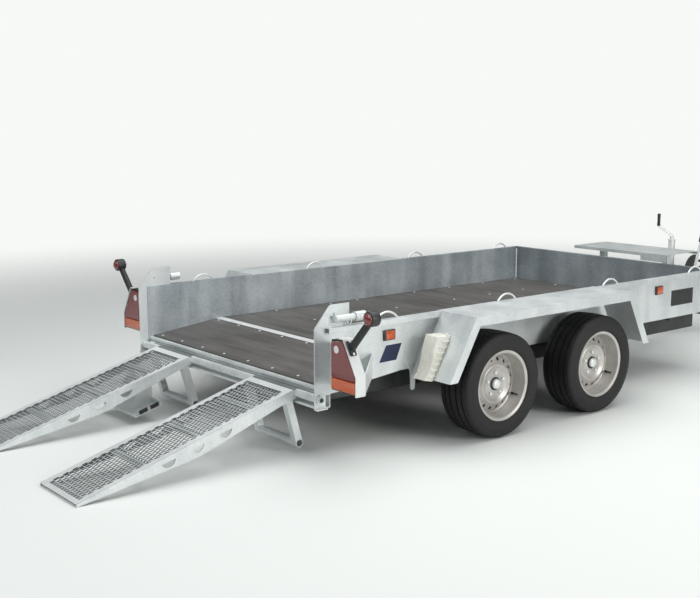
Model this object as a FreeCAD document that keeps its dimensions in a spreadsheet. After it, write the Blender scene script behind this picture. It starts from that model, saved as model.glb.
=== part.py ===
import FreeCAD, Part
import math
import os

import Sketcher

# A tandem-axle plant trailer, parked on its wheels and jockey wheel with both loading
# ramps down. X is to the right, Y is forwards to the coupling and Z is up. The floor is
# Z = 0 and the origin lies under the middle of the whole trailer.

os.makedirs("parts", exist_ok=True)
doc = FreeCAD.newDocument("plant_trailer")
V = FreeCAD.Vector

# Driving dimensions in millimetres: name, value, what it measures. A name that ends in
# _y is a distance forwards from the rear edge of the bed, one that ends in _ahead is a
# distance forwards from the inside of its front board, and one that ends in _beside is a
# distance outwards from the inside of a side panel.
SIZES = [
    ("bed_rear", -1633, "rear edge of the bed, measured along Y from the origin"),
    ("bed_length", 3050, "rear edge of the bed to the inside of the front board"),
    ("bed_width", 1590, "between the side panels"),
    ("deck_height", 394, "top of the level deck above the floor"),
    ("tail_height", 339, "top of the sloping deck at the rear edge"),
    ("tail_length", 470, "length of the sloping deck"),
    ("deck_thickness", 15, "plywood deck"),
    ("strip_reach", 22, "kink strip, from the kink to either edge"),
    ("strip_thickness", 3, "kink strip, and the rebate that it lies in"),
    ("sheet_wall", 3, "folded sheet of panels and fenders"),
    ("panel_drop", 33, "lower edge of the side panels under the deck top"),
    ("rail_top", 623, "top of the side rail above the floor"),
    ("rail_width", 34, "side rail, across"),
    ("rail_depth", 25, "side rail, height"),
    ("rail_rear_y", 14, "rear end of the side rail"),
    ("post_wall", 5, "corner post plate"),
    ("post_rear", 50, "corner post, reach behind the bed"),
    ("post_front_y", 150, "corner post, front edge"),
    ("post_foot", 251, "corner post, lower edge above the floor"),
    ("post_height", 725, "corner post, top above the floor"),
    ("post_shoulder", 624, "corner post, foot of the chamfer above the floor"),
    ("post_chamfer_y", 38, "corner post, top of the chamfer"),
    ("post_corner", 14, "corner post, rounding over the chamfer"),
    ("post_foot_y", 12, "corner post, front edge of its foot"),
    ("post_flange", 18, "corner post, flange along its foot"),
    ("edge_radius", 12, "round bar along the rear edge of the deck"),
    ("edge_y", 22, "round bar, centre"),
    ("channel_wall", 4, "rear channel"),
    ("channel_web_y", 38, "rear channel, rear face of its web"),
    ("channel_reach", 32, "rear channel, lower flange behind the bed"),
    ("channel_lip", 8, "rear channel, upturned lip"),
    ("hinge_behind", 20, "ramp hinge axis behind the bed"),
    ("hinge_height", 296, "ramp hinge axis above the floor"),
    ("hinge_radius", 16, "fixed hinge tube"),
    ("hinge_bore", 12, "fixed hinge tube, bore radius"),
    ("hinge_stub", 12, "fixed hinge tube, reach outside the corner post"),
    ("bush_radius", 23, "bush that holds the hinge tube on the corner post"),
    ("turning_gap", 0.3, "clearance of a turning or sliding fit, on the radius"),
    ("beam_width", 50, "chassis beam, across"),
    ("beam_beside", -95, "chassis beam, outer face"),
    ("beam_bottom", 249, "chassis beam, lower face above the floor"),
    ("beam_tail_bottom", 257, "chassis beam, lower face at its rear end"),
    ("beam_taper", 560, "chassis beam, length of the taper at the rear"),
    ("cross_depth", 34, "crossmember, height"),
    ("cross_width", 50, "crossmember, along the trailer"),
    ("drawbar_width", 50, "drawbar leg, across"),
    ("drawbar_depth", 100, "drawbar leg, height"),
    ("drawbar_start_ahead", -900, "drawbar leg, where it leaves the chassis beam"),
    ("drawbar_end_ahead", 910, "drawbar leg, front end"),
    ("drawbar_apart", 78, "drawbar leg, centre line from the middle at the front end"),
    ("wheel_rear_y", 919, "rear axle"),
    ("wheel_front_y", 1667, "front axle"),
    ("face_beside", 258, "outer plane of the wheel rim"),
    ("tyre_radius", 262.5, "tyre"),
    ("tyre_width", 195, "tyre across its side walls"),
    ("tread_width", 160, "tyre across its tread"),
    ("bead_radius", 165, "rim where the tyre sits"),
    ("flange_radius", 182.5, "edge of the rim"),
    ("rim_width", 176, "rim across its flanges"),
    ("rim_wall", 4, "rim sheet"),
    ("flange_wall", 9, "rim, width of its rolled flange"),
    ("fit_gap", 0.3, "clearance of the tyre on its rim"),
    ("tyre_swell", 20, "tyre, height of the flare over the rim's flange"),
    ("tyre_shoulder", 22, "tyre, height of its sloping shoulder"),
    ("disc_depth", 56, "bolt face under the outer plane of the rim"),
    ("dish_radius", 74, "bolt face, edge of its flat"),
    ("dish_rise", 13, "crest of the wheel face over its bolt face"),
    ("crest_radius", 98, "crest of the wheel face"),
    ("skirt_radius", 134, "foot of the wheel face against the barrel"),
    ("face_back", 78, "back of the wheel face under the outer plane of the rim"),
    ("vent_ring", 121, "radius of the ring of vent openings"),
    ("vent_radius", 10, "vent opening, centre to corner"),
    ("bolt_ring", 56, "radius of the ring of wheel bolts"),
    ("bolt_radius", 12, "wheel bolt head, centre to corner"),
    ("bolt_head", 11, "wheel bolt head, height"),
    ("cap_radius", 30, "hub cap"),
    ("cap_reach", 18, "hub cap, height over the bolt face"),
    ("drum_radius", 108, "brake drum"),
    ("drum_reach", 126, "back of the brake drum under the outer plane of the rim"),
    ("back_plate", 6, "brake back plate"),
    ("stub_radius", 20, "stub axle"),
    ("torsion_tube", 70, "square axle tube"),
    ("torsion_height", 322, "axle tube centre above the floor"),
    ("arm_length", 150, "suspension arm, axle tube to wheel along the trailer"),
    ("arm_thickness", 28, "suspension arm, across the trailer"),
    ("arm_beside", 25, "suspension arm, inner face"),
    ("arm_end", 32, "suspension arm, radius of its end round the stub axle"),
    ("fender_beside", 269, "outer edge of the fender"),
    ("fender_top_rear_y", 713, "fender top, rear end"),
    ("fender_top_front_y", 1921, "fender top, front end"),
    ("fender_foot_rear_y", 542, "fender, foot of the rear slope"),
    ("fender_foot_front_y", 2076, "fender, foot of the front slope"),
    ("fender_foot", 328, "fender, lower edge above the floor"),
    ("fender_lip", 45, "fender, hanging lip"),
    ("ramp_length", 1150, "hinge axis to the tip of the ramp"),
    ("ramp_width", 354, "ramp across its side plates"),
    ("ramp_middle", 459, "middle of each ramp from the centre"),
    ("ramp_rise", 24, "top of the ramp over the line through its hinge"),
    ("ramp_tip", 12, "thickness of the ramp at its tip"),
    ("ramp_start", 20, "hinge axis to the upper end of the ramp"),
    ("web_wall", 5, "ramp side plate"),
    ("web_deepest", 50, "ramp side plate, deepest point under the hinge line"),
    ("web_deepest_at", 566, "hinge axis to the deepest point"),
    ("web_round", 60, "ramp side plate, reach of the rounding at its deepest point"),
    ("moon_width", 70, "half-moon opening in the ramp side plate"),
    ("moon_height", 26, "half-moon opening, height"),
    ("tie_width", 30, "cross tie under the tread, along the ramp"),
    ("tie_depth", 16, "cross tie under the tread"),
    ("tread_wall", 4, "perforated tread plate"),
    ("tread_border", 30, "plain border of the tread"),
    ("tread_rows", 20, "openings along the tread"),
    ("tread_columns", 4, "openings across the tread"),
    ("tread_bridge", 12, "metal between two openings"),
    ("sleeve_radius", 19.5, "hinge sleeve of the ramp"),
    ("sleeve_gap", 2.5, "half the gap between the two sleeves"),
    ("leg_at", 54, "hinge axis to the ramp leg"),
    ("leg_drop", 238, "centre of the foot tube under the hinge line"),
    ("leg_tube", 36, "square tube of the ramp leg"),
    ("foot_radius", 20, "foot tube"),
    ("tube_wall", 3, "wall of the foot tube"),
    ("carrier_start", 245, "plate carrier, near edge from the hinge axis"),
    ("carrier_width", 160, "plate carrier, along the ramp"),
    ("carrier_length", 350, "plate carrier, across the ramp"),
    ("carrier_drop", 152, "plate carrier, lower face under the hinge line"),
    ("carrier_lip", 22, "plate carrier, folded edge"),
    ("lamp_beside", 73, "rear lamp, inner edge"),
    ("lamp_end_beside", 252, "rear lamp, outer edge"),
    ("lamp_foot", 356, "rear lamp, lower edge above the floor"),
    ("lamp_top", 596, "rear lamp, top above the floor"),
    ("lamp_shoulder", 442, "rear lamp, end of its upright edge above the floor"),
    ("lamp_top_width", 92, "rear lamp, width of its top"),
    ("lamp_depth", 52, "rear lamp, along the trailer"),
    ("lamp_rear", 15, "rear lamp, face behind the bed"),
    ("guard_depth", 56, "lamp guard, along the trailer"),
    ("lamp_slant", 12, "rear lamp, fall of its top towards the post"),
    ("guard_step", 40, "lamp guard, its inner corner under the top of the lamp"),
    ("guard_ledge", 30, "lamp guard, length of its rim along the top"),
    ("stay_reach", 296, "stay of the lamp guard, where it meets the side panel"),
    ("stay_top", 468, "stay of the lamp guard, top at the side panel above the floor"),
    ("arm_radius", 16, "rubber arm of the marker lamp, half its width"),
    ("arm_seat", 46, "rubber arm, its seat below the top of the lamp guard"),
    ("arm_base", 9, "rubber arm, thickness of its foot"),
    ("arm_foot", 36, "rubber arm, half the length of its foot"),
    ("marker_radius", 34, "marker lamp"),
    ("marker_lens", 24, "marker lamp, flat of its lens"),
    ("marker_bulge", 12, "marker lamp, depth of its lens"),
    ("marker_beside", 332, "marker lamp, centre"),
    ("marker_height", 710, "marker lamp, centre above the floor"),
    ("marker_length", 70, "marker lamp, along the trailer"),
    ("marker_y", 10, "marker lamp, centre"),
    ("hoop_bar", 5, "lashing hoop, radius of the bar"),
    ("hoop_in", 14, "lashing hoop, outside the inner face of the side panel"),
    ("hoop_length", 134, "lashing hoop, between its feet"),
    ("hoop_rise", 34, "lashing hoop, height of the bar's centre"),
    ("coupling_height", 430, "ball centre above the floor"),
    ("coupling_nose_ahead", 1350, "front of the coupling"),
    ("ball_ahead", 1295, "ball centre"),
    ("socket_radius", 25.3, "ball socket"),
    ("head_radius", 40, "coupling head"),
    ("housing_rear_ahead", 810, "overrun housing, rear end"),
    ("housing_front_ahead", 1100, "overrun housing, front end"),
    ("housing_radius", 40, "overrun housing tube"),
    ("housing_plate", 12, "overrun housing, base plate"),
    ("shaft_radius", 22, "overrun shaft"),
    ("gaiter_radius", 36, "gaiter over its folds"),
    ("gaiter_folds", 4, "folds of the gaiter"),
    ("fold_depth", 8, "fold of the gaiter"),
    ("saddle_flare", 16, "overrun housing, flare of its two feet"),
    ("saddle_length", 110, "overrun housing, length of each foot"),
    ("socket_depth", 42, "ball socket"),
    ("socket_below", 22, "ball socket, its mouth under the ball's centre"),
    ("head_rise", 34, "coupling head, top over the ball's centre"),
    ("grip_width", 36, "coupling handle, across"),
    ("brake_ahead", 990, "handbrake lever, pivot"),
    ("brake_rise", 26, "handbrake lever, pivot over the coupling's axis"),
    ("brake_hub", 26, "handbrake lever, reach of its foot round the pivot"),
    ("brake_wall", 8, "handbrake lever and quadrant"),
    ("brake_low", 72, "toothed quadrant, angle of its front edge"),
    ("brake_high", 162, "toothed quadrant, angle of its rear edge"),
    ("brake_teeth", 12, "toothed quadrant, number of teeth"),
    ("brake_tooth", 5, "toothed quadrant, depth of a tooth"),
    ("quadrant_radius", 112, "toothed quadrant"),
    ("lever_angle", 72, "handbrake lever, angle above the level"),
    ("lever_half", 16, "handbrake lever, half its width"),
    ("lever_length", 318, "handbrake lever, pivot to the end of its grip"),
    ("lever_grip", 110, "handbrake lever, grip"),
    ("clamp_lift", 20, "jockey clamp, over the housing's base plate"),
    ("clamp_width", 60, "jockey clamp, along the trailer"),
    ("clamp_height", 50, "jockey clamp"),
    ("clamp_wall", 9, "jockey clamp round the tube"),
    ("screw_radius", 8, "jockey clamp, screw"),
    ("screw_reach", 46, "jockey clamp, screw outside the clamp"),
    ("collar_height", 8, "jockey tube, collar at its top"),
    ("spindle_height", 22, "jockey tube, spindle over its collar"),
    ("spindle_radius", 14, "jockey tube, spindle"),
    ("crank_reach", 103, "jockey crank, axis to the grip"),
    ("crank_rise", 86, "jockey crank, rise to the grip"),
    ("crank_wall", 10, "jockey crank, arm"),
    ("crank_grip", 92, "jockey crank, grip"),
    ("crank_radius", 12, "jockey crank, grip"),
    ("leg_hidden", 60, "jockey leg, top under the top of the outer tube"),
    ("fork_clear", 24, "jockey fork, top over the wheel"),
    ("fork_wall", 5, "jockey fork, cheek"),
    ("fork_gap", 6, "jockey fork, room beside the wheel"),
    ("cheek_half", 15, "jockey fork, half the width of a cheek's end"),
    ("pin_radius", 8, "jockey wheel, axle pin"),
    ("jockey_x", -170, "jockey wheel, from the centre"),
    ("jockey_ahead", 1020, "jockey wheel, axis of its tube"),
    ("jockey_tube", 24, "jockey outer tube, radius"),
    ("jockey_wall", 3, "jockey outer tube, wall"),
    ("jockey_foot", 282, "jockey outer tube, lower end above the floor"),
    ("jockey_top", 650, "jockey outer tube, top above the floor"),
    ("jockey_wheel", 100, "jockey wheel, radius"),
    ("jockey_tread", 60, "jockey wheel, width"),
    ("jockey_trail", 30, "jockey wheel, trail"),
    ("rest_height", 660, "bucket rest, top above the floor"),
    ("rest_half", 383, "bucket rest, half its width"),
    ("rest_rear_ahead", 150, "bucket rest, rear edge"),
    ("rest_front_ahead", 510, "bucket rest, front edge"),
    ("rest_lip", 20, "bucket rest, folded edge"),
    ("rest_post", 40, "bucket rest, post"),
    ("apron_start", 180, "bucket rest, apron on its right side, from the centre"),
    ("apron_drop", 50, "bucket rest, apron under the top"),
    ("chock_beside", 73, "wheel chock, inner face"),
    ("chock_width", 90, "wheel chock, across the trailer"),
    ("chock_top", 530, "wheel chock, upper end above the floor"),
    ("chock_foot", 322, "wheel chock, lower end above the floor"),
    ("chock_base", 92, "wheel chock, depth at its upper end"),
    ("chock_waist", 62, "wheel chock, depth at its middle"),
    ("chock_tip", 54, "wheel chock, depth at its lower end"),
    ("latch_wall", 6, "ramp latch, plate"),
    ("latch_axis", 22, "ramp latch, bolt outside the corner post"),
    ("latch_height", 662, "ramp latch, bolt above the floor"),
    ("latch_radius", 16, "ramp latch, barrel of the bolt"),
    ("latch_reach", 110, "ramp latch, barrel"),
    ("latch_grip", 60, "ramp latch, grip"),
    ("latch_beyond", 10, "ramp latch, bolt beyond the rear edge of its plate"),
    ("latch_y", 60, "ramp latch, rear edge of its plate"),
    ("latch_length", 72, "ramp latch, plate along the trailer"),
    ("latch_below", 22, "ramp latch, plate below the bolt"),
    ("latch_plate", 48, "ramp latch, height of its plate"),
    ("reflector", 10, "side reflector, thickness"),
    ("reflector_y", 395, "rear side reflector, middle"),
    ("reflector_ahead", -520, "front side reflector, middle"),
    ("reflector_length", 70, "side reflector, along the trailer"),
    ("reflector_foot", 518, "side reflector, lower edge above the floor"),
    ("reflector_height", 50, "side reflector, height"),
    ("lug_wall", 6, "lug plate"),
    ("lug_y", 506, "lug plate, rear edge"),
    ("lug_foot", 253, "lug plate, foot above the floor"),
    ("lug_hole_in", 39, "lug plate, hole from its rear edge"),
    ("lug_hole_up", 119, "lug plate, hole over its foot"),
    ("lug_hole_radius", 10, "lug plate, hole"),
]
sheet = doc.addObject("Spreadsheet::Sheet", "Dim")
for row, (name, value, meaning) in enumerate(SIZES, start=1):
    sheet.set(f"A{row}", name)
    sheet.set(f"B{row}", str(value))
    sheet.set(f"C{row}", meaning)
    sheet.setAlias(f"B{row}", name)
doc.recompute()


class Sizes:
    """The sheet's values as plain numbers, for places that are worked out from them."""


d = Sizes()
for name, value, meaning in SIZES:
    setattr(d, name, float(sheet.get(name)))

# Places that several pieces share, worked out from the driving dimensions.
half = d.bed_width / 2
rear = d.bed_rear
front = rear + d.bed_length
beam_outer = half + d.beam_beside
wheel_face = half + d.face_beside
arm_inner = half + d.arm_beside
fender_outer = half + d.fender_beside
lamp_inner = half + d.lamp_beside
lamp_outer = half + d.lamp_end_beside
marker_out = half + d.marker_beside
chock_inner = half + d.chock_beside
skin = half + d.sheet_wall
deck_under = d.deck_height - d.deck_thickness
cross_bottom = deck_under - d.cross_depth
wheel_height = d.tyre_radius
hinge_y = rear - d.hinge_behind
tip_reach = math.hypot(d.ramp_length, d.ramp_tip)
slope = math.atan2(d.ramp_tip, d.ramp_length) + math.asin(d.hinge_height / tip_reach)
SIDES = [("left", -1), ("right", 1)]

parts = []


def tail_top(y):
    """Height of the sloping deck's top at a distance y from the bed's rear edge."""
    share = min(y / d.tail_length, 1.0)
    return d.tail_height + (d.deck_height - d.tail_height) * share


def new_body(label):
    """A body that becomes one node of the trailer."""
    body = doc.addObject("PartDesign::Body", label)
    body.Label = label
    parts.append(body)
    return body


def end_at(sketch, edge, corner):
    """Which end of a sketched edge lies at the corner: 1 is its start and 2 its end."""
    return min((1, 2), key=lambda end: sketch.getPoint(edge, end).distanceToPoint(corner))


def sketch_on(body, plane, loops=(), circles=(), at=0.0):
    """A sketch on one of the body's own planes, moved by `at` along X, Y or Z.

    A loop is a list of points. A point with a third entry is the middle of an arc
    between its neighbours.
    """
    sketch = body.newObject("Sketcher::SketchObject", "Sketch")
    origin_plane = [f for f in body.Origin.OriginFeatures if f.Role == plane][0]
    sketch.AttachmentSupport = [(origin_plane, "")]
    sketch.MapMode = "FlatFace"
    side = -1 if plane == "XZ_Plane" else 1
    sketch.AttachmentOffset = FreeCAD.Placement(V(0, 0, side * at), FreeCAD.Rotation())
    edges = []
    corners = []
    for loop in loops:
        first = len(edges)
        count = len(loop)
        for index, point in enumerate(loop):
            following = loop[(index + 1) % count]
            start = V(point[0], point[1], 0)
            if len(point) == 3:
                continue
            if len(following) == 3:
                end = loop[(index + 2) % count]
                middle = V(following[0], following[1], 0)
                edges.append(Part.Arc(start, middle, V(end[0], end[1], 0)))
            else:
                edges.append(Part.LineSegment(start, V(following[0], following[1], 0)))
        plain = [point for point in loop if len(point) == 2]
        for offset, point in enumerate(plain):
            before = first + (offset - 1) % len(plain)
            corners.append((before, first + offset, V(point[0], point[1], 0)))
    for x, y, radius in circles:
        edges.append(Part.Circle(V(x, y, 0), V(0, 0, 1), radius))
    sketch.addGeometry(edges, False)
    sketch.addConstraint([
        Sketcher.Constraint("Coincident", before, end_at(sketch, before, corner),
                            after, end_at(sketch, after, corner))
        for before, after, corner in corners
    ])
    return sketch


def size_by(feature, prop, length):
    """Sets a length as a number, or binds it to the sheet where it is an expression."""
    if isinstance(length, str):
        feature.setExpression(prop, length)
    else:
        setattr(feature, prop, length)


def pad(body, plane, loops, length, at=0.0, circles=()):
    """Pads a sketch along +X, +Y or +Z from the place `at`."""
    feature = body.newObject("PartDesign::Pad", "Pad")
    feature.Profile = sketch_on(body, plane, loops, circles, at)
    feature.Reversed = plane == "XZ_Plane"
    size_by(feature, "Length", length)
    return feature


def pocket(body, plane, loops, length, at=0.0, circles=()):
    """Cuts a sketch along +X, +Y or +Z from the place `at`."""
    feature = body.newObject("PartDesign::Pocket", "Pocket")
    feature.Profile = sketch_on(body, plane, loops, circles, at)
    feature.Reversed = plane != "XZ_Plane"
    size_by(feature, "Length", length)
    return feature


def revolve(body, loop, axis, plane="XY_Plane"):
    """Turns a closed outline about the sketch's own horizontal or vertical axis."""
    feature = body.newObject("PartDesign::Revolution", "Revolution")
    sketch = sketch_on(body, plane, [loop])
    feature.Profile = sketch
    feature.ReferenceAxis = (sketch, [axis])
    feature.Angle = 360
    return feature


def box_loop(low_u, high_u, low_v, high_v):
    return [(low_u, low_v), (high_u, low_v), (high_u, high_v), (low_u, high_v)]


def rounding(corner, coming, going, reach):
    """Start, middle and end of the arc that rounds a corner, each end `reach` from it."""
    tip = V(*corner, 0)
    back = (V(*coming, 0) - tip).normalize()
    onwards = (V(*going, 0) - tip).normalize()
    half_turn = back.getAngle(onwards) / 2
    radius = reach * math.tan(half_turn)
    middle = tip + (back + onwards).normalize() * (radius / math.sin(half_turn) - radius)
    start = tip + back * reach
    end = tip + onwards * reach
    return [(start.x, start.y), (middle.x, middle.y, "arc"), (end.x, end.y)]


def mirrored(loop, side):
    """The loop as it is for the right side, or turned over in X for the left."""
    return [(side * p[0], *p[1:]) for p in loop]


def from_side(side, inner, thickness):
    """Where a slab of this thickness starts along X on the left or right side."""
    return inner if side > 0 else -inner - thickness


# Decks: the level deck, the sloping tail and the folded strip, flush in a rebate over the kink.
kink = d.tail_length
before = kink - d.strip_reach
after = kink + d.strip_reach
strip_low = d.deck_height - d.strip_thickness

deck_main = new_body("deck_main")
level = [
    (rear + kink, deck_under),
    (front, deck_under),
    (front, d.deck_height),
    (rear + after, d.deck_height),
    (rear + after, strip_low),
    (rear + kink, strip_low),
]
pad(deck_main, "YZ_Plane", [level], "Dim.bed_width", at=-half)

tail_start = d.edge_y + d.edge_radius
deck_tail = new_body("deck_tail")
slanted = [
    (rear + tail_start, tail_top(tail_start) - d.deck_thickness),
    (rear + kink, deck_under),
    (rear + kink, strip_low),
    (rear + before, tail_top(before) - d.strip_thickness),
    (rear + before, tail_top(before)),
    (rear + tail_start, tail_top(tail_start)),
]
pad(deck_tail, "YZ_Plane", [slanted], "Dim.bed_width", at=-half)

deck_strip = new_body("deck_strip")
strip_outline = [
    (rear + before, tail_top(before) - d.strip_thickness),
    (rear + kink, strip_low),
    (rear + after, strip_low),
    (rear + after, d.deck_height),
    (rear + kink, d.deck_height),
    (rear + before, tail_top(before)),
]
pad(deck_strip, "YZ_Plane", [strip_outline], "Dim.bed_width", at=-half)

# Side panels: a sheet with a folded rail along its top and a slot for the corner post.
under_edge = d.tail_height - 2 * d.edge_radius
panel_outline = [
    (rear, under_edge),
    (rear + kink, d.deck_height - d.panel_drop),
    (front, d.deck_height - d.panel_drop),
    (front, d.rail_top),
    (rear, d.rail_top),
]
wall = d.sheet_wall
rail_low = d.rail_top - d.rail_depth
rail_outline = [
    (skin, d.rail_top - wall),
    (half + d.rail_width - wall, d.rail_top - wall),
    (half + d.rail_width - wall, rail_low + wall),
    (skin + 2 * wall + d.post_wall, rail_low + wall),
    (skin + 2 * wall + d.post_wall, rail_low),
    (half + d.rail_width, rail_low),
    (half + d.rail_width, d.rail_top),
    (skin, d.rail_top),
]
for name, side in SIDES:
    panel = new_body(f"side_{name}")
    pad(panel, "YZ_Plane", [panel_outline], "Dim.sheet_wall", at=from_side(side, half, wall))
    rail_start = rear + d.rail_rear_y
    pad(panel, "XZ_Plane", [mirrored(rail_outline, side)],
        "Dim.bed_length - Dim.rail_rear_y", at=rail_start)
    slot = mirrored(box_loop(skin, skin + d.post_wall, rail_low, d.rail_top), side)
    pocket(panel, "XZ_Plane", [slot], "Dim.post_front_y", at=rear)

# Front board: one folded sheet with a rail that stands forwards.
front_board = new_body("front_board")
board_low = d.deck_height - d.panel_drop
rail_front = front + d.rail_width
board_outline = [
    (front, board_low),
    (front + wall, board_low),
    (front + wall, d.rail_top - wall),
    (rail_front - wall, d.rail_top - wall),
    (rail_front - wall, rail_low + wall),
    (rail_front - 5 * wall, rail_low + wall),
    (rail_front - 5 * wall, rail_low),
    (rail_front, rail_low),
    (rail_front, d.rail_top),
    (front, d.rail_top),
]
pad(front_board, "YZ_Plane", [board_outline],
    "Dim.bed_width + 2 * Dim.rail_width", at=-half - d.rail_width)

# Corner posts: plates that carry the hinge tube, the ramp latches and the lamp guards.
post_back = rear - d.post_rear
post_front = rear + d.post_front_y
post_face = skin + d.post_wall
foot_front = rear + d.post_foot_y
chamfer_foot = (post_back, d.post_shoulder)
chamfer_head = (rear + d.post_chamfer_y, d.post_height)
post_outline = [
    (post_back, d.post_foot),
    (foot_front, d.post_foot),
    (foot_front, under_edge),
    (post_front, under_edge + d.channel_wall),
    (post_front, d.post_height),
    *rounding(chamfer_head, (post_front, d.post_height), chamfer_foot, d.post_corner),
    chamfer_foot,
]
LATCH_HOLES = [(30, 604, 6), (47, 668, 5)]
for name, side in SIDES:
    post = new_body(f"corner_post_{name}")
    holes = [(rear + y, z, radius) for y, z, radius in LATCH_HOLES]
    pad(post, "YZ_Plane", [post_outline], "Dim.post_wall",
        at=from_side(side, skin, d.post_wall),
        circles=holes + [(hinge_y, d.hinge_height, d.hinge_radius)])
    bush_start = from_side(side, post_face, d.hinge_stub - d.post_wall)
    pad(post, "YZ_Plane", [], "Dim.hinge_stub - Dim.post_wall", at=bush_start,
        circles=[(hinge_y, d.hinge_height, d.bush_radius),
                 (hinge_y, d.hinge_height, d.hinge_radius)])
    flange = box_loop(post_back, foot_front, d.post_foot, d.post_foot + d.post_wall)
    pad(post, "YZ_Plane", [flange], "Dim.post_flange",
        at=from_side(side, post_face, d.post_flange))

# Rear edge: the bar along the deck, the open channel under it and the hinge tube.
edge_bar = new_body("rear_edge_bar")
pad(edge_bar, "YZ_Plane", [], "Dim.bed_width", at=-half,
    circles=[(rear + d.edge_y, d.tail_height - d.edge_radius, d.edge_radius)])

rear_channel = new_body("rear_channel")
web_rear = rear + d.channel_web_y
web_front = web_rear + d.channel_wall
lip_rear = rear - d.channel_reach
channel_outline = [
    (lip_rear, d.post_foot),
    (web_front, d.post_foot),
    (web_front, under_edge),
    (rear + d.edge_y - d.edge_radius, under_edge),
    (rear + d.edge_y - d.edge_radius, under_edge - d.channel_wall),
    (web_rear, under_edge - d.channel_wall),
    (web_rear, d.post_foot + d.channel_wall),
    (lip_rear + d.channel_wall, d.post_foot + d.channel_wall),
    (lip_rear + d.channel_wall, d.post_foot + d.channel_wall + d.channel_lip),
    (lip_rear, d.post_foot + d.channel_wall + d.channel_lip),
]
pad(rear_channel, "YZ_Plane", [channel_outline],
    "Dim.bed_width + 2 * Dim.sheet_wall", at=-skin)

hinge_tube = new_body("hinge_tube")
hinge_end = skin + d.post_wall + d.hinge_stub
pad(hinge_tube, "YZ_Plane", [], 2 * hinge_end, at=-hinge_end,
    circles=[(hinge_y, d.hinge_height, d.hinge_radius), (hinge_y, d.hinge_height, d.hinge_bore)])

# Chassis: two box beams with windows for the axle tubes, and the crossmembers.
AXLES = [("rear", d.wheel_rear_y), ("front", d.wheel_front_y)]
tube_half = d.torsion_tube / 2
beam_start = d.channel_web_y + d.channel_wall
beam_outline = [
    (rear + beam_start, d.beam_tail_bottom),
    (rear + d.beam_taper, d.beam_bottom),
    (front, d.beam_bottom),
    (front, deck_under),
    (rear + kink, deck_under),
    (rear + beam_start, tail_top(beam_start) - d.deck_thickness),
]
windows = [
    box_loop(rear + y + d.arm_length - tube_half, rear + y + d.arm_length + tube_half,
             d.torsion_height - tube_half, d.torsion_height + tube_half)
    for name, y in AXLES
]
beam_inner = beam_outer - d.beam_width
for name, side in SIDES:
    beam = new_body(f"chassis_beam_{name}")
    pad(beam, "YZ_Plane", [beam_outline] + windows, "Dim.beam_width",
        at=from_side(side, beam_inner, d.beam_width))

# Each crossmember is a bar between the beams with an outrigger to either side panel.
cross_places = [560, 860, 1280, 1500, 2000]
cross_places += [d.bed_length - ahead for ahead in (720, 390, d.cross_width)]
crossmembers = new_body("crossmembers")
crossmembers.AllowCompound = True
for place in cross_places:
    loops = [
        box_loop(-beam_inner, beam_inner, rear + place, rear + place + d.cross_width),
        box_loop(-half, -beam_outer, rear + place, rear + place + d.cross_width),
        box_loop(beam_outer, half, rear + place, rear + place + d.cross_width),
    ]
    pad(crossmembers, "XY_Plane", loops, "Dim.cross_depth", at=cross_bottom)

# Drawbar: two legs that run from the chassis beams to a point under the coupling.
leg_start = V(beam_inner, front + d.drawbar_start_ahead, 0)
leg_end = V(d.drawbar_apart, front + d.drawbar_end_ahead, 0)
leg_line = (leg_end - leg_start).normalize()
leg_side = V(leg_line.y, -leg_line.x, 0) * (d.drawbar_width / 2)
outer_end = leg_end + leg_side
inner_end = leg_end - leg_side


def on_beam(point):
    """Where the leg's edge through this point meets the beam's inner face."""
    along = (beam_inner - point.x) / leg_line.x
    return (beam_inner, point.y + along * leg_line.y)


leg_outline = [
    on_beam(inner_end),
    on_beam(outer_end),
    (outer_end.x, outer_end.y),
    (inner_end.x, inner_end.y),
]
drawbar_low = cross_bottom - d.drawbar_depth
for name, side in SIDES:
    leg = new_body(f"drawbar_{name}")
    pad(leg, "XY_Plane", [mirrored(leg_outline, side)], "Dim.drawbar_depth", at=drawbar_low)

# Fenders: a folded top, two sloping ends and a lip that hangs round the outer edge.
def fender_path(inset, foot):
    """The fender's side outline, moved inwards by `inset`, from foot to foot."""
    rear_run = d.fender_top_rear_y - d.fender_foot_rear_y
    front_run = d.fender_foot_front_y - d.fender_top_front_y
    rise = d.rail_top + wall - d.fender_foot
    rear_shift = inset * math.hypot(rear_run, rise) / rise
    front_shift = inset * math.hypot(front_run, rise) / rise
    top = d.rail_top + wall - inset
    drop = (top - foot) / rise
    rear_top = rear + d.fender_top_rear_y + rear_shift - inset * rear_run / rise
    front_top = rear + d.fender_top_front_y - front_shift + inset * front_run / rise
    return [
        (rear_top - drop * rear_run, foot),
        (rear_top, top),
        (front_top, top),
        (front_top + drop * front_run, foot),
    ]


outside = fender_path(0, d.fender_foot)
inside = fender_path(wall, d.fender_foot)
lip_inside = fender_path(d.fender_lip, d.fender_foot)
top_sheet = box_loop(outside[1][0], outside[2][0], d.rail_top, d.rail_top + wall)
end_sheets = [
    [outside[0], outside[1], inside[1], inside[0]],
    [outside[3], outside[2], inside[2], inside[3]],
]
for name, side in SIDES:
    fender = new_body(f"fender_{name}")
    top_width = fender_outer - half
    pad(fender, "YZ_Plane", [top_sheet], "Dim.fender_beside",
        at=from_side(side, half, top_width))
    rail_edge = half + d.rail_width
    end_width = fender_outer - rail_edge
    for end_sheet in end_sheets:
        pad(fender, "YZ_Plane", [end_sheet],
            "Dim.fender_beside - Dim.rail_width",
            at=from_side(side, rail_edge, end_width))
    pad(fender, "YZ_Plane", [outside + lip_inside[::-1]], "Dim.sheet_wall",
        at=from_side(side, fender_outer - wall, wall))

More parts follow.
